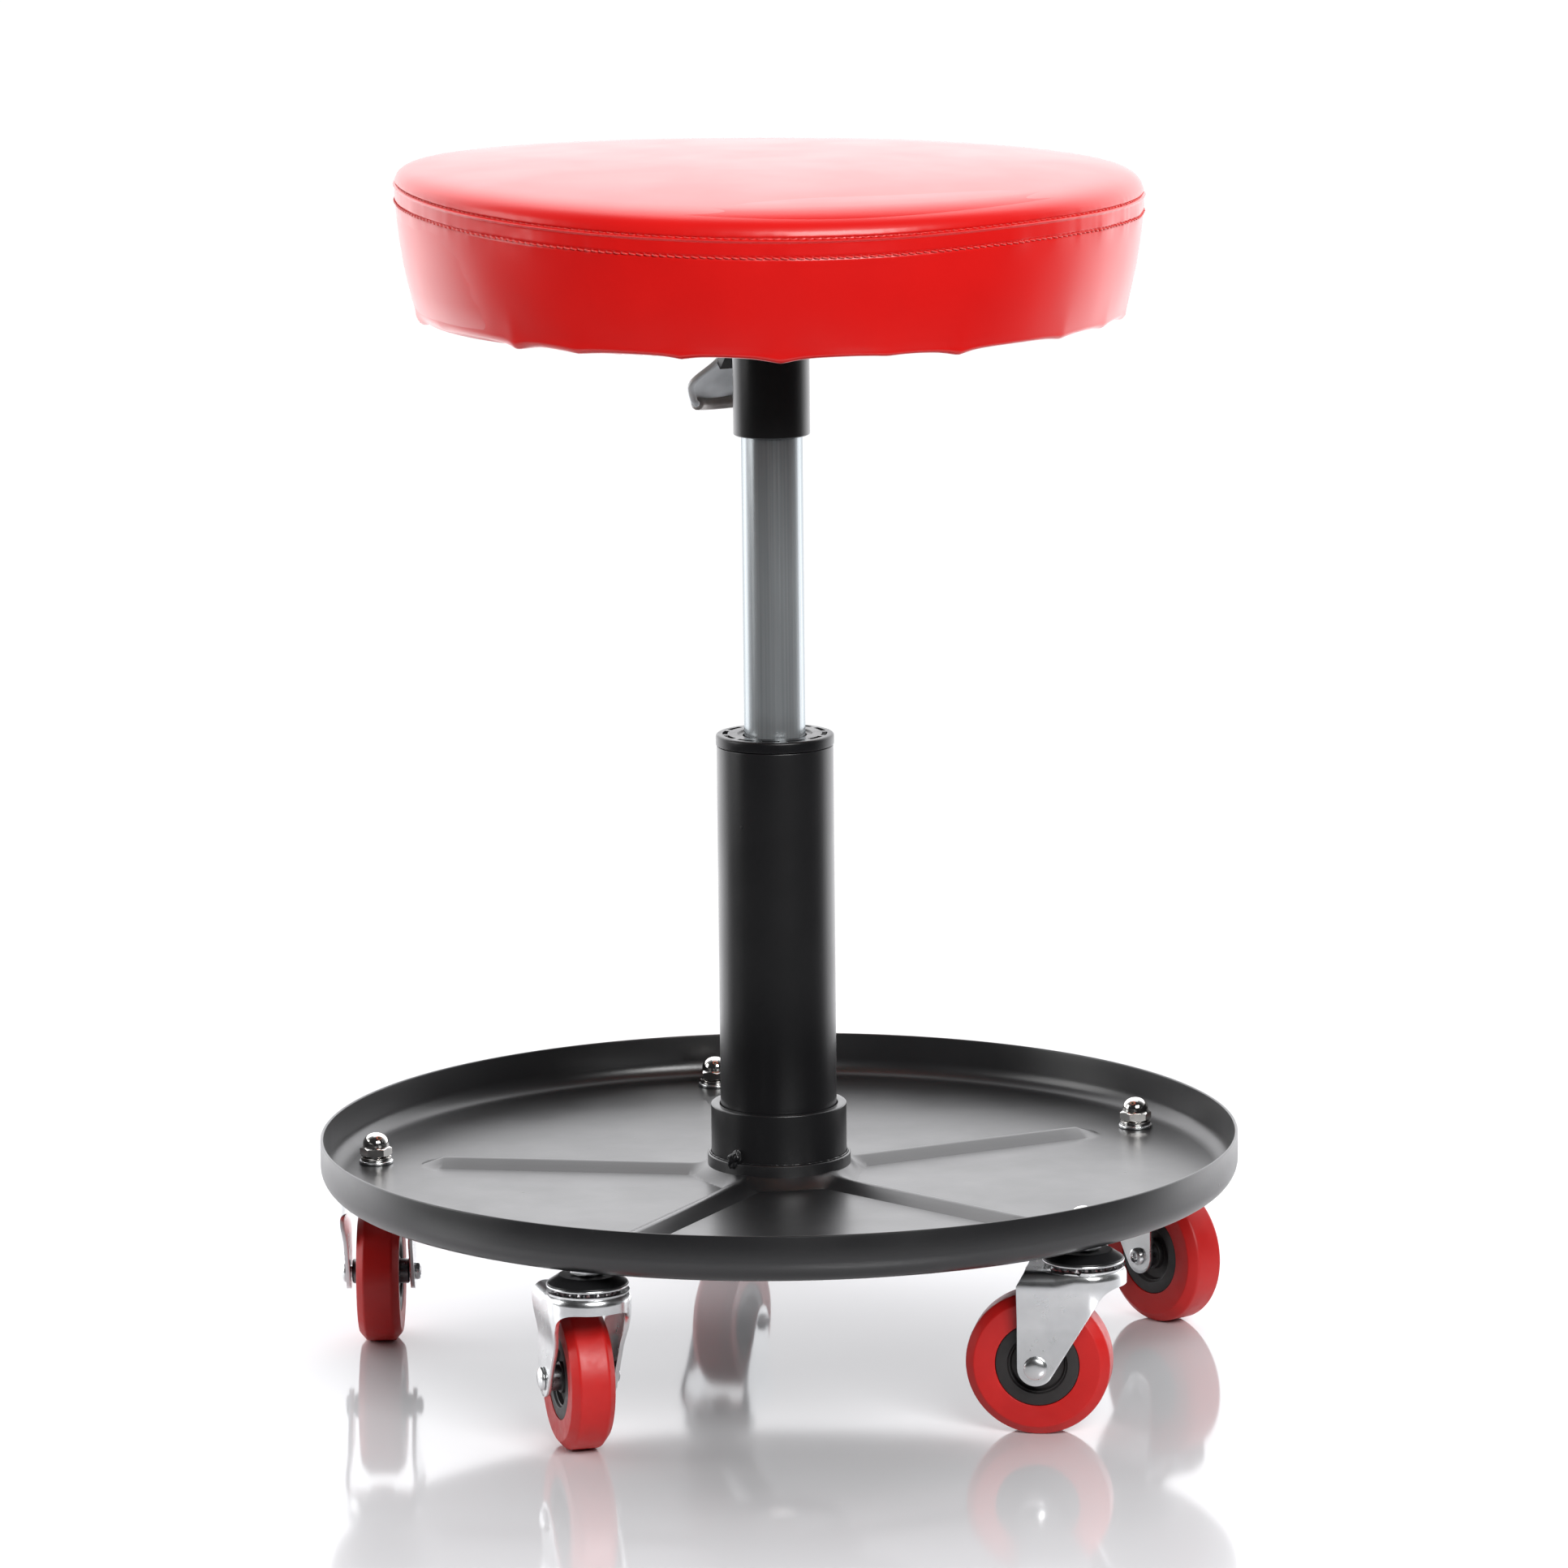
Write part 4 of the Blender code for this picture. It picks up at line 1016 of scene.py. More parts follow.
def make_grip():
    """A dished thumb grip with a rolled edge and a thick lip at its end."""
    rows, columns = 30, 24
    sheet, rim_radius, lip_radius, lip_share = 0.0020, 0.0017, 0.0030, 0.96
    bm = bmesh.new()
    grid = []
    for i in range(rows + 1):
        line = [grip_point(i / rows, 2 * j / columns - 1)[0] for j in range(columns + 1)]
        grid.append([bm.verts.new(point) for point in line])
    for low, high in zip(grid, grid[1:]):
        for j in range(columns):
            bm.faces.new((low[j], low[j + 1], high[j + 1], high[j]))
    mesh = clean_mesh("lever_grip_finished", bm)
    if mesh.polygons[0].normal.z < 0:
        mesh.flip_normals()
    # The grip's near-white colour is partly painted sheen.
    grip = link("lever_grip_finished", mesh, GRIP_METAL_AND_SHEEN, 50.0)
    solid = grip.modifiers.new("sheet", "SOLIDIFY")
    solid.thickness = sheet
    solid.offset = 1.0
    bevel(grip, 0.0005, 3, 50.0)
    applied(grip)
    place(grip, "lever", LEVER_FRAME, ["lever_grip"])

    def middle_path(spots):
        points = [grip_point(u, v) for u, v in spots]
        return [point + outward * (sheet / 2) for point, outward in points]

    border = [(i / rows, -1.0) for i in range(rows)]
    border += [(1.0, 2 * j / columns - 1) for j in range(columns)]
    border += [(1 - i / rows, 1.0) for i in range(rows)]
    border += [(0.0, 1 - 2 * j / columns) for j in range(columns)]
    mesh = tube_mesh("lever_grip_rim", middle_path(border), rim_radius, 10, True)
    place(link("lever_grip_rim", mesh, GRIP_METAL_AND_SHEEN, 60.0), "lever", LEVER_FRAME)
    end = [(1.0, (2 * j / columns - 1) * lip_share) for j in range(columns + 1)]
    mesh = tube_mesh("lever_grip_lip", middle_path(end), lip_radius, 12)
    place(link("lever_grip_lip", mesh, GRIP_EDGE, 60.0), "lever", LEVER_FRAME)


make_bolts()
make_sleeve()
make_grip()
repaint("lever_arm", BLACK_PLASTIC, 0.0006)
repaint("lever_pin", BRIGHT_ZINC, 0.0003)
repaint("release_pin", BRIGHT_ZINC, 0.0002)

# --- Column and gas spring ---------------------------------------------------------------------------

WELD_RADIUS, WELD_Z = 0.03165, 0.0997


def make_column():
    outside, low, high = radius("column_tube"), bottom("column_tube"), top("column_tube")
    edge, foot_edge = 0.0005, 0.001
    inside, floor, hole = outside - 0.0022, low + 0.003, 0.0045
    corners = [
        (hole, low, edge), (outside, low, foot_edge), (outside, high, edge), (inside, high, edge),
        (inside, floor, edge), (hole, floor, edge),
    ]
    tube = link("column_tube_finished", turned_mesh("column_tube", rounded(corners)), BLACK_COAT)
    place(tube, "base", COLUMN_FRAME, ["column_tube"])

    outside, low, high = radius("tray_collar"), bottom("tray_collar"), top("tray_collar")
    bore, edge = 0.0271, 0.0006
    profile = ring_profile(bore, outside, low, high, edge)
    collar = link("tray_collar_finished", turned_mesh("tray_collar", profile), BLACK_COAT)
    place(collar, "base", COLUMN_FRAME, ["tray_collar"])


def make_bush():
    """The guide bush: a flanged plastic sleeve with slots moulded round its top."""
    high, low, flange = top("column_bush"), bottom("column_bush"), top("column_tube") + 0.0003
    bore, outside, inside = 0.0146, radius("column_bush"), radius("column_tube") - 0.0025
    edge, lip, step = 0.0013, 0.0172, 0.0168
    slot_walls = [0.0240, 0.0237, 0.0219, 0.0216]
    profile = rounded([
        (bore, low, 0.0004), (inside, low, 0.0008), (inside, flange, 0.0), (outside, flange, 0.0004),
        (outside, high, edge), *[(wall, high, 0.0) for wall in slot_walls],
        (lip, high, 0.0), (step, high - 0.0007, 0.0), (bore, high - 0.0007, 0.0004),
    ])
    around, slots, depth, slot_start, slot_end = 288, 12, 0.0022, 0.14, 0.86
    rings = turned_rings(profile, around)
    reach = np.hypot(rings[..., 0], rings[..., 1])
    turn = (np.arange(around) / around * slots) % 1.0
    in_slot = (turn > slot_start) & (turn < slot_end)
    on_top = np.abs(rings[..., 2] - high) < 1e-5
    between = (reach < (slot_walls[0] + slot_walls[1]) / 2) & (reach > (slot_walls[2] + slot_walls[3]) / 2)
    rings[..., 2] -= depth * (on_top & between & in_slot[None, :])
    bush = link("column_bush_finished", rings_mesh("column_bush", rings, True), BLACK_PLASTIC)
    place(bush, "base", COLUMN_FRAME, ["column_bush"])


def make_gas_spring():
    outside, low, high = radius("gas_cylinder"), bottom("gas_cylinder"), top("gas_cylinder")
    inside, rod_hole, pin_hole = 0.012, 0.0055, 0.0035
    corners = [
        (rod_hole, low, 0.0004), (outside - 0.001, low, 0.001), (outside, low + 0.004, 0.002),
        (outside, high - 0.003, 0.002), (outside - 0.002, high, 0.001), (pin_hole, high, 0.0004),
        (pin_hole, high - 0.008, 0.0), (inside, high - 0.008, 0.0), (inside, low + 0.005, 0.0),
        (rod_hole, low + 0.005, 0.0),
    ]
    cylinder = link("gas_cylinder_finished", turned_mesh("gas_cylinder", rounded(corners)), DRAWN_ZINC)
    place(cylinder, "seat", COLUMN_FRAME, ["gas_cylinder"])
    repaint("piston_rod", CHROME)
    repaint("thrust_bearing", DARK_STEEL)


def make_weld_bead():
    """The weld bead round the collar's foot, thicker in some places than in others."""
    around, plain = 360, 0.0006
    path, sizes = [], []
    for k in range(around):
        a = TAU * k / around
        bump = noise.noise(Vector((math.cos(a) * 22, math.sin(a) * 22, 0.5)))
        reach = WELD_RADIUS + 0.0001 * bump
        path.append((reach * math.cos(a), reach * math.sin(a), WELD_Z + 0.0001 * bump))
        sizes.append(0.00034 + 0.00030 * bump)
    mesh = tube_mesh("collar_weld", path, plain, 8, True)
    for vertex in mesh.vertices:
        a = math.atan2(vertex.co.y, vertex.co.x) % TAU
        k = int(a / TAU * around) % around
        centre = Vector(path[k])
        vertex.co = centre + (vertex.co - centre) * (sizes[k] / plain)
    place(link("collar_weld", mesh, BLACK_COAT, 60.0), "base", COLUMN_FRAME)


def make_weld_blob():
    """The lump where the bead was closed."""
    width, length, height = 0.0024, 0.0033, 0.0044
    reach, rise = 0.0325, 0.0016
    bm = bmesh.new()
    bmesh.ops.create_icosphere(bm, subdivisions=4, radius=1.0)
    for vertex in bm.verts:
        lump = noise.noise(vertex.co * 1.7 + Vector((4.0, 1.0, 2.0))) + 0.4 * noise.noise(vertex.co * 4.1)
        vertex.co *= 1.0 + 0.42 * lump
        curl = 0.45 * vertex.co.z
        vertex.co = Vector((vertex.co.x * width, (vertex.co.y + curl) * length, vertex.co.z * height))
    blob = link("weld_blob", clean_mesh("weld_blob", bm), BLACK_COAT, 70.0)
    a = VIEW_FRONT - math.radians(39)
    spot = Matrix.Translation((reach * math.cos(a), reach * math.sin(a), WELD_Z + rise))
    place(blob, "base", COLUMN_FRAME @ spot @ Matrix.Rotation(a, 4, "Z"))


make_column()
make_bush()
make_gas_spring()
make_weld_bead()
make_weld_blob()

# --- Tray --------------------------------------------------------------------------------------------

SHEET = 0.0015
TRAY_RADIUS = 0.2113
TRAY_RIM = top("tray")
TRAY_FLOOR = bottom("tray") + SHEET
NECK_RADIUS, NECK_TOP = 0.0330, 0.0995
RIB_HALF, RIB_RISE = 0.0095, 0.0042
RIB_CREST_END, RIB_END = 0.157, 0.168
FIRST_RIB = math.radians(18)


def rib_reach(r):
    """The half width and the height of a rib at a distance from the column."""
    tip = np.clip((r - RIB_CREST_END) / (RIB_END - RIB_CREST_END), 0.0, 1.0)
    return RIB_HALF * np.sqrt(np.maximum(1 - tip**2, 0.004)), RIB_RISE * (1 - tip)


def tray_angles(r, between):
    """Directions round one ring of the tray, closer together across each rib."""
    half, _ = rib_reach(r)
    spread = math.asin(min(0.9, half / r))
    shares = [0.0, 0.07, 0.14, 0.2, 0.6, 1.0]
    limit = math.pi / 5
    spread = min(spread, limit * 0.8)
    side = [spread * share for share in shares]
    side += [spread + (limit - spread) * k / between for k in range(1, between)]
    offsets = [-angle for angle in side[:0:-1]] + side + [limit]
    return [FIRST_RIB + TAU * rib / 5 + offset for rib in range(5) for offset in offsets]


def floor_rise(r, angle):
    """How far the pressed floor stands above its plain level."""
    neck_flat, neck_corner = 0.0378, 0.0425  # the flare's foot: five flats with cut corners
    flare_height, flare_power = 0.0050, 1.15
    round_half = 0.2  # the share of a rib's half width that its round crest takes
    half, crest = rib_reach(r)
    turn = (angle - FIRST_RIB + math.pi / 5) % (TAU / 5) - math.pi / 5
    share = abs(r * math.sin(turn)) / half if r * math.cos(turn) > 0 else 1.0
    if share < round_half:
        section = 1 - round_half / 2 - share**2 / (2 * round_half)
    else:
        section = 1 - share
    rib = crest * max(0.0, section)
    flat = neck_flat / max(0.6, abs(math.cos(math.pi / 5 - abs(turn))))
    foot = min(flat, neck_corner)
    flare = flare_height * max(0.0, 1 - (r - NECK_RADIUS) / (foot - NECK_RADIUS)) ** flare_power
    return (rib**3 + flare**3) ** (1 / 3)


def make_tray():
    corner = 0.010
    middle = (TRAY_RADIUS - corner, TRAY_FLOOR - SHEET + corner)
    floor = [
        0.0330, 0.0333, 0.0338, 0.0345, 0.0353, 0.0361, 0.0369, 0.0374, 0.0378, 0.0383, 0.0389, 0.0396,
        0.0404, 0.0413, 0.0424, 0.0438, 0.048, 0.056, 0.068, 0.084, 0.100, 0.118, 0.134, 0.148, 0.157,
        0.159, 0.161, 0.163, 0.165, 0.1665, 0.1675, 0.168, 0.1686, 0.174, 0.184, 0.193,
    ]
    inner_corner = arc(middle, corner - SHEET, -90, 0, 10)
    rim = arc((TRAY_RADIUS - SHEET / 2, TRAY_RIM - SHEET / 2), SHEET / 2, 180, 0, 6)
    outer_corner = arc(middle, corner, 0, -90, 10)
    neck_inside = NECK_RADIUS - SHEET
    neck_rim = arc((NECK_RADIUS - SHEET / 2, NECK_TOP - SHEET / 2), SHEET / 2, 180, 0, 6)

    rows = [(r, None, 0.0) for r in floor]
    rows += [(r, z, 0.0) for r, z in inner_corner + rim + outer_corner]
    rows += [(r, None, SHEET) for r in floor[:4:-1]]
    rows += [(neck_inside, TRAY_FLOOR + 0.004, 0.0)]
    rows += [(r, z, 0.0) for r, z in neck_rim]
    between = 24
    rings = []
    for r, z, drop in rows:
        ring = []
        for angle in tray_angles(r, between):
            height = TRAY_FLOOR - drop + floor_rise(r, angle) if z is None else z
            ring.append((r * math.cos(angle), r * math.sin(angle), height))
        rings.append(ring)
    tray = link("tray_finished", rings_mesh("tray", rings, True), TRAY_COAT, 21.0)
    place(tray, "base", COLUMN_FRAME, ["tray"])


make_tray()

# --- Casters -----------------------------------------------------------------------------------------

REAR_WHEEL = Vector(JOINTS["wheel_spin_rear"]["pos_m"])
REAR_SWIVEL = Vector(JOINTS["caster_swivel_rear"]["pos_m"])
TRAIL = (REAR_WHEEL - REAR_SWIVEL).xy.length
WHEEL_RADIUS = JOINTS["wheel_spin_rear"]["pos_m"][2]
WHEEL_HALF = 0.010
HUB_RADIUS = 0.0190
RACE_TOP = top("race_cap_rear")
RACE_LOW = bottom("race_cap_rear")
FORK_TOP = top("fork_rear")
NUT_TOP = top("acorn_nut_rear")
CROWN_RADIUS = 0.0193
LEG_TOP_HALF, LEG_LOW_HALF = 0.0186, 0.0160
LEG_END = 0.0082


def tyre_mesh():
    tread = WHEEL_RADIUS
    corners = [
        (HUB_RADIUS, -WHEEL_HALF + 0.0006, 0.0002), (tread - 0.0040, -WHEEL_HALF, 0.0012),
        (tread, -0.0066, 0.0020), (tread, 0.0066, 0.0020), (tread - 0.0040, WHEEL_HALF, 0.0012),
        (HUB_RADIUS, WHEEL_HALF - 0.0006, 0.0002),
    ]
    return turned_mesh("tyre", rounded(corners, 5), 128)


def hub_mesh():
    """The hub: a moulded ring round a recessed web and a boss, the same on both sides."""
    half, recess, boss = WHEEL_HALF - 0.0007, 0.0058, WHEEL_HALF - 0.0013
    corners = [
        (HUB_RADIUS - 0.0002, half - 0.0002, 0.0004), (0.0136, half, 0.0005),
        (0.0130, half - 0.0012, 0.0002), (0.0124, half - 0.0014, 0.0003), (0.0119, recess, 0.0005),
        (0.0072, recess, 0.0004), (0.0070, boss, 0.0004), (0.0036, boss, 0.0003),
    ]
    mirrored = [(r, -z, edge) for r, z, edge in corners[::-1]]
    return turned_mesh("hub", rounded(corners + mirrored, 3), 96)


def bearing_mesh():
    """The spacer and bearing faces that stand between hub and fork."""
    reach, inner, outer = LEG_LOW_HALF - 0.0026, 0.0032, 0.0058
    root = WHEEL_HALF - 0.0030
    corners = [
        (inner, root, 0.0), (outer, root, 0.0), (outer, reach - 0.0006, 0.0003),
        (0.0050, reach, 0.0004), (inner, reach, 0.0003),
    ]
    one_side = turned_mesh("bearing", rounded(corners), 48)
    return join_meshes("bearing", [one_side, (one_side, Matrix.Rotation(math.pi, 4, "X"))])


def axle_mesh():
    """A rivet with a domed head at one end and a rolled hollow end at the other."""
    leg, head, shank = LEG_LOW_HALF + 0.0002, 0.0053, 0.0029
    rolled_end = [
        (0.0, -leg - 0.0006), (0.0017, -leg - 0.0007), (0.0021, -leg - 0.0020), (0.0027, -leg - 0.0024),
        (0.0036, -leg - 0.0021), (0.0041, -leg - 0.0012), (0.0041, -leg), (shank, -leg),
    ]
    rim, rise = leg + 0.0004, 0.0019
    turns = (0.3, 0.6, 0.9, 1.15, 1.35)  # radians up the dome
    dome = [(head * math.cos(turn) ** 0.8, rim + rise * math.sin(turn)) for turn in turns]
    domed_end = [(shank, leg), (head - 0.0002, leg), (head, rim)] + dome + [(0.0, rim + rise)]
    return turned_mesh("axle", rolled_end + domed_end, 64, closed=False)


def fork_foot(x):
    """The lower edge of the fork at a distance x behind the swivel axis."""
    lip, curve_start, curve_length, curve_drop = 0.0690, -0.0175, 0.0130, 0.0196
    lean = math.radians(31.4)  # of the leg's front edge, from upright
    tangent_share, overlap = 0.735, 0.0004  # where the curve meets the straight edge
    edge_x = TRAIL - LEG_END * math.cos(lean)
    edge_z = WHEEL_RADIUS - LEG_END * math.sin(lean)
    if x >= edge_x:
        return WHEEL_RADIUS - math.sqrt(max(0.0, LEG_END**2 - (x - TRAIL) ** 2))
    straight = edge_z + (edge_x - x) / math.tan(lean)
    share = min(1.0, max(0.0, (x - curve_start) / curve_length))
    curve = lip - curve_drop * (1 - math.sqrt(1 - share**2))
    tangent = curve_start + tangent_share * curve_length
    if x < tangent:
        return curve
    if x < tangent + overlap:
        return min(curve, straight)
    return straight


def leg_half(z):
    """Half the fork's outer width at a height."""
    flare_low, flare_high = 0.0500, 0.0690
    share = float(smooth_step(flare_low, flare_high, z))
    return LEG_LOW_HALF + (LEG_TOP_HALF - LEG_LOW_HALF) * share


FORK_PLATE = FORK_TOP - 0.0004  # the level of the plate behind the raceway


def fork_column(x, y, front, rows):
    """Points down the fork's skin from the raceway's edge, past the bend, to its lower edge."""
    ring, groove_share, groove_depth, groove_lip = 0.0158, 0.95, 0.0030, 0.0004
    bend_steps = 5
    behind_crown = float(smooth_step(0.0, 0.012, x))
    bend = 0.0030 + 0.0022 * behind_crown
    drop = 0.0036 + 0.0024 * behind_crown
    back_cut = 0.0034 * float(smooth_step(0.016, 0.028, x))
    size = math.hypot(x, y)
    points = [
        (x / size * ring * groove_share, y / size * ring * groove_share, FORK_PLATE - groove_depth),
        (x / size * ring, y / size * ring, FORK_PLATE - groove_lip),
    ]
    side = 1.0 if y > 0 else -1.0
    inward = Vector((-x, -y)).normalized() if front else Vector((0, -side))
    edge = Vector((x, y)) + inward * bend
    if front or size - bend > ring + 0.0006:
        points.append((*(Vector((x, y)).normalized() * (ring + 0.0008)), FORK_PLATE))
    else:
        points.append((*edge, FORK_PLATE))
    for k in range(bend_steps + 1):
        turn = math.pi / 2 * k / bend_steps
        spot = edge - inward * bend * math.sin(turn)
        cut = back_cut * math.cos(turn)
        points.append((spot.x - cut, spot.y, FORK_PLATE - drop * (1 - math.cos(turn))))
    start, foot = FORK_PLATE - drop, fork_foot(x)
    for k in range(1, rows + 1):
        z = start + (foot - start) * k / rows
        points.append((x, y * leg_half(z) / LEG_TOP_HALF, z))
    return points


def fork_bridge(bm, first, last):
    """Faces across the plate's free edge behind the raceway, from one leg's top to the other's."""
    bridges, groove_points = 14, 2
    previous = first
    for k in range(1, bridges + 1):
        share = k / bridges
        following = list(last) if k == bridges else []
        for i in range(len(following), len(first)):
            a, b = first[i].co, last[i].co
            point = a.lerp(b, share)
            point.z = FORK_PLATE
            if i < groove_points:
                start_turn, end_turn = math.atan2(a.y, a.x), math.atan2(b.y, b.x)
                turn = start_turn + (end_turn - start_turn) * share
                size = a.xy.length
                point = Vector((size * math.cos(turn), size * math.sin(turn), a.z))
            following.append(bm.verts.new(point))
        for i in range(len(first) - 1):
            bm.faces.new((previous[i], previous[i + 1], following[i + 1], following[i]))
        previous = following


def fork_mesh():
    """A pressed fork: a round crown in front, a plate behind it and a tapering leg on each side."""
    sheet, rows, leg_steps, crown_steps, crowding, plate_points = 0.0020, 22, 40, 40, 1.3, 5
    back = TRAIL + LEG_END
    stations = [back * (1 - (1 - k / leg_steps) ** crowding) for k in range(leg_steps + 1)]
    columns = [fork_column(x, LEG_TOP_HALF, False, rows) for x in reversed(stations)]
    for k in range(1, crown_steps):
        turn = math.pi / 2 + math.pi * k / crown_steps
        x, y = CROWN_RADIUS * math.cos(turn), CROWN_RADIUS * math.sin(turn)
        blend = float(smooth_step(0.0, 0.008, -x))
        y *= (LEG_TOP_HALF + (CROWN_RADIUS - LEG_TOP_HALF) * blend) / CROWN_RADIUS
        columns.append(fork_column(x, y, True, rows))
    columns += [fork_column(x, -LEG_TOP_HALF, False, rows) for x in stations]
    bm = bmesh.new()
    verts = [[bm.verts.new(point) for point in column] for column in columns]
    for low, high in zip(verts, verts[1:]):
        for i in range(len(low) - 1):
            bm.faces.new((low[i], high[i], high[i + 1], low[i + 1]))
    fork_bridge(bm, verts[0][:plate_points], verts[-1][:plate_points])
    obj = link("fork_shell", clean_mesh("fork", bm), BRIGHT_ZINC)
    solid = obj.modifiers.new("sheet", "SOLIDIFY")
    solid.thickness = sheet
    solid.offset = -1.0
    solid.use_even_offset = False
    bevel(obj, 0.00035, 2, 50.0)
    applied(obj)
    shell = obj.data
    bpy.data.objects.remove(obj)
    return shell


def race_cap_mesh():
    """A coned pressing, open below, over the race's balls."""
    sheet, outside, hole = 0.0014, 0.0179, 0.0045
    under, inside = RACE_TOP - sheet, outside - sheet
    corners = [
        (hole, under, 0.0), (0.0120, under, 0.001), (inside, RACE_LOW + 0.0004, 0.0005),
        (inside, RACE_LOW, 0.0003), (outside, RACE_LOW, 0.0004), (outside, RACE_LOW + 0.0019, 0.0008),
        (0.0127, RACE_TOP, 0.0014), (hole, RACE_TOP, 0.0),
    ]
    return turned_mesh("race_cap", rounded(corners, 5), 96)


def race_rim_mesh():
    """The bright rolled edge round the foot of the race cap."""
    inside, outside, low, high = 0.0171, 0.0183, RACE_LOW + 0.0002, RACE_LOW + 0.0013
    return turned_mesh("race_rim", ring_profile(inside, outside, low, high, 0.0004), 96)


def balls_mesh():
    """The balls that run in a caster's race."""
    count, reach, size, level = 18, 0.0126, 0.0018, FORK_TOP + 0.0003
    bm = bmesh.new()
    for k in range(count):
        a = TAU * k / count
        spot = Matrix.Translation((reach * math.cos(a), reach * math.sin(a), level))
        bmesh.ops.create_icosphere(bm, subdivisions=2, radius=size, matrix=spot)
    return clean_mesh("race_balls", bm)


def stem_mesh():
    """The kingpin: a hexagon under the tray, a shank through it and a riveted foot under the fork."""
    low, high = bottom("caster_stem_rear"), top("caster_stem_rear")
    flats, gap, shank_radius, foot_radius, around = 0.0140, 0.0002, 0.0039, 0.0068, 72
    hex_low, hex_high, foot_top = RACE_TOP + gap, TRAY_FLOOR - SHEET - gap, low + 0.0030
    corners = [
        (0.0, low, 0.0), (0.0058, low, 0.0008), (foot_radius, low + 0.0016, 0.0006),
        (foot_radius, foot_top, 0.0003), (shank_radius, foot_top, 0.0),
    ]
    shank = [(shank_radius, foot_top), (shank_radius, hex_low)]
    below = turned_rings(rounded(corners)[:-1] + shank, around)
    hexagon = hexagon_rings(flats, hexagon_profile(flats, hex_low, hex_high, shank_radius))
    above = turned_rings([(shank_radius, hex_high), (shank_radius, high), (0.0, high)], around)
    return rings_mesh("caster_stem", np.concatenate([below, hexagon, above]))


def flat_washer_mesh():
    bore, outside, low, thickness, edge = 0.0044, 0.0079, TRAY_FLOOR + 0.0001, 0.0014, 0.0004
    return turned_mesh("flat_washer", ring_profile(bore, outside, low, low + thickness, edge), 72)


def split_washer_mesh():
    """A spring washer: one turn of square wire, cut through and sprung a little open."""
    low, wire, bore, outside, edge = TRAY_FLOOR + 0.0016, 0.0016, 0.0044, 0.0071, 0.0003
    steps, start, sweep, opening = 88, 8, 346, 0.0003  # start and sweep in degrees
    rings = []
    for k in range(steps + 1):
        share = k / steps
        a = math.radians(start + sweep * share)
        foot = low + opening * share
        corners = ring_profile(bore, outside, foot, foot + wire, edge, 2)
        rings.append([(r * math.cos(a), r * math.sin(a), z) for r, z in corners])
    first_end, last_end = np.mean(rings[0], axis=0), np.mean(rings[-1], axis=0)
    sides = len(rings[0])
    rings = [[tuple(first_end)] * sides] + rings + [[tuple(last_end)] * sides]
    return rings_mesh("split_washer", rings)


def acorn_nut_mesh():
    """A domed cap nut on a hexagon, with its blind bore."""
    flats, dome, bore_radius, around, steps = 0.0130, 0.0061, 0.0044, 96, 14
    low = TRAY_FLOOR + 0.0036
    shoulder = low + 0.0041
    straight = shoulder + 0.0012
    rise = NUT_TOP - straight
    cap = [(dome + 0.0004, shoulder), (dome + 0.0001, shoulder + 0.0003), (dome, straight)]
    for k in range(1, steps):
        turn = math.pi / 2 * k / steps
        cap.append((dome * math.cos(turn) ** 0.92, straight + rise * math.sin(turn)))
    cap.append((0.0, NUT_TOP))
    bore = [(0.0, shoulder), (bore_radius, shoulder - 0.0003), (bore_radius, low)]
    body = hexagon_rings(flats, hexagon_profile(flats, low, shoulder, bore_radius)[1:-1], around)
    rings = [turned_rings(bore, around), body, turned_rings(cap, around)]
    return rings_mesh("acorn_nut", np.concatenate(rings))


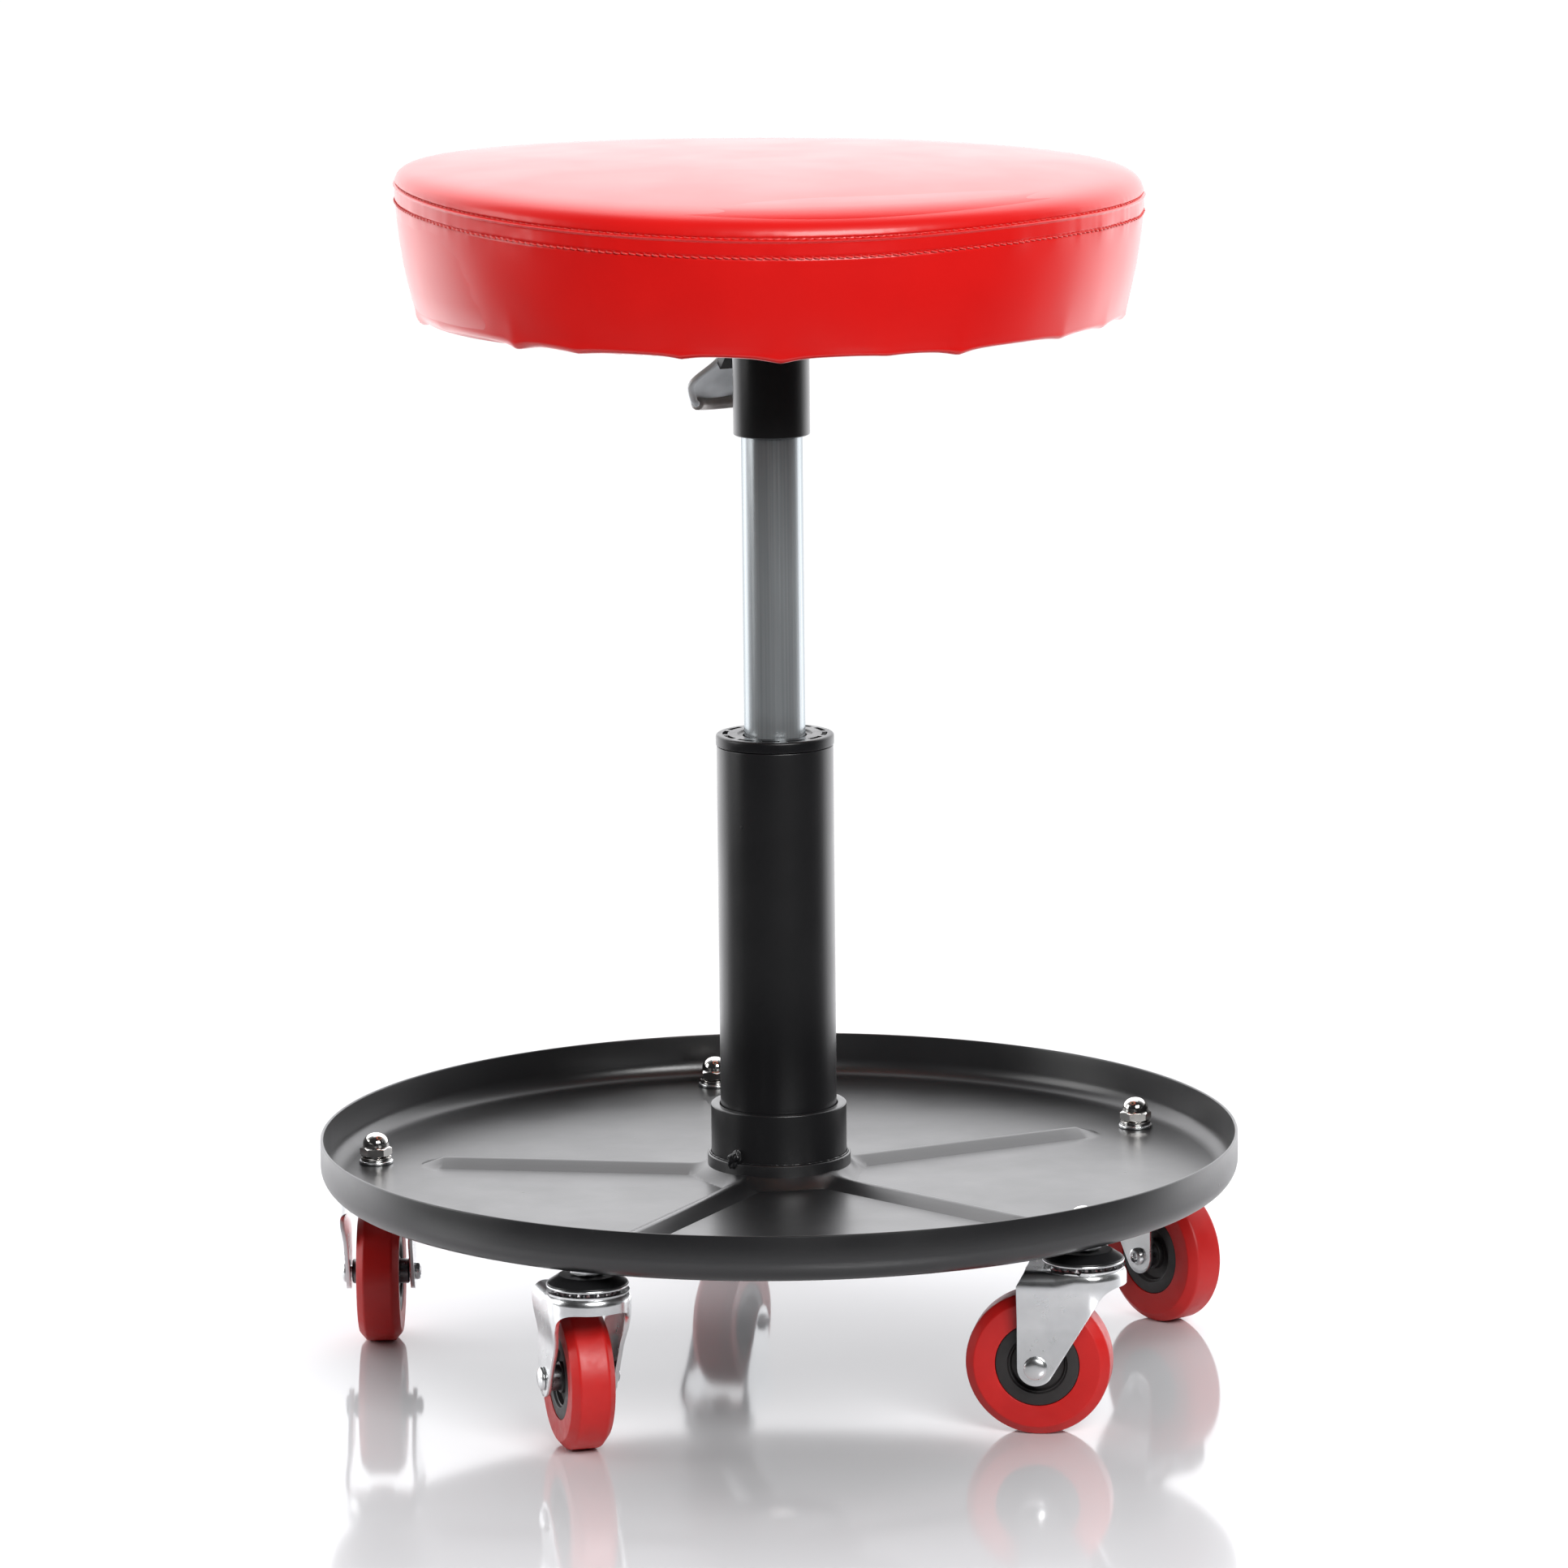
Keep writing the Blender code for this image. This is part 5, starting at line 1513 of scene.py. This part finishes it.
def make_casters():
    """Five casters from one set of meshes; their nuts and stems are turned differently."""
    nut_turn = 0.17
    fixed = {
        "caster_stem": (stem_mesh(), BRIGHT_ZINC, "steel"),
        "race_cap": (race_cap_mesh(), BLACK_COAT, "black_coat"),
        "acorn_nut": (acorn_nut_mesh(), CHROME, "chrome"),
    }
    washers = {
        "flat_washer": (flat_washer_mesh(), BRIGHT_ZINC),
        "split_washer": (split_washer_mesh(), CHROME),
    }
    balls = balls_mesh()
    race_rim = race_rim_mesh()
    fork = fork_mesh()
    axle, hub, tyre, bearing = axle_mesh(), hub_mesh(), tyre_mesh(), bearing_mesh()
    for number, name in enumerate(PLACES):
        swivel = Vector(JOINTS[f"caster_swivel_{name}"]["pos_m"])
        wheel = Vector(JOINTS[f"wheel_spin_{name}"]["pos_m"])
        outward = math.atan2(swivel.y - AXIS_Y, swivel.x - AXIS_X)
        trail = math.atan2(wheel.y - swivel.y, wheel.x - swivel.x)
        ground = Matrix.Translation((swivel.x, swivel.y, 0))
        stem_frame = ground @ Matrix.Rotation(outward + nut_turn * number, 4, "Z")
        fork_frame = ground @ Matrix.Rotation(trail, 4, "Z")
        wheel_turn = Matrix.Rotation(trail, 4, "Z") @ Matrix.Rotation(-math.pi / 2, 4, "X")
        wheel_frame = Matrix.Translation(wheel) @ wheel_turn

        for kind, (mesh, material, slot) in fixed.items():
            piece = link(f"{kind}_{name}_finished", mesh.copy(), material, 30.0)
            place(piece, "base", stem_frame, [f"{kind}_{name}"])
        for kind, (mesh, material) in washers.items():
            piece = link(f"{kind}_{name}", mesh.copy(), material)
            place(piece, "base", stem_frame, [f"spring_washer_{name}"])
        piece = link(f"race_rim_{name}", race_rim.copy(), BRIGHT_ZINC)
        place(piece, "base", stem_frame)
        # The balls are dark steel as painted shade: they stand in for the shaded gap under the race cap.
        piece = link(f"race_balls_{name}", balls.copy(), DARK_STEEL, 80.0)
        place(piece, "base", stem_frame)
        piece = link(f"fork_{name}_finished", fork.copy(), BRIGHT_ZINC, 40.0)
        place(piece, f"swivel_{name}", fork_frame, [f"fork_{name}"])
        piece = link(f"axle_{name}_finished", axle.copy(), BRIGHT_ZINC, 50.0)
        place(piece, f"swivel_{name}", wheel_frame, [f"axle_{name}"])
        piece = link(f"hub_{name}_finished", hub.copy(), HUB_PLASTIC)
        place(piece, f"wheel_{name}", wheel_frame, [f"hub_{name}"])
        piece = link(f"bearing_{name}", bearing.copy(), DARK_STEEL)
        place(piece, f"wheel_{name}", wheel_frame)
        piece = link(f"tyre_{name}_finished", tyre.copy(), RED_TYRE, 50.0)
        place(piece, f"wheel_{name}", wheel_frame, [f"tyre_{name}"])


make_casters()
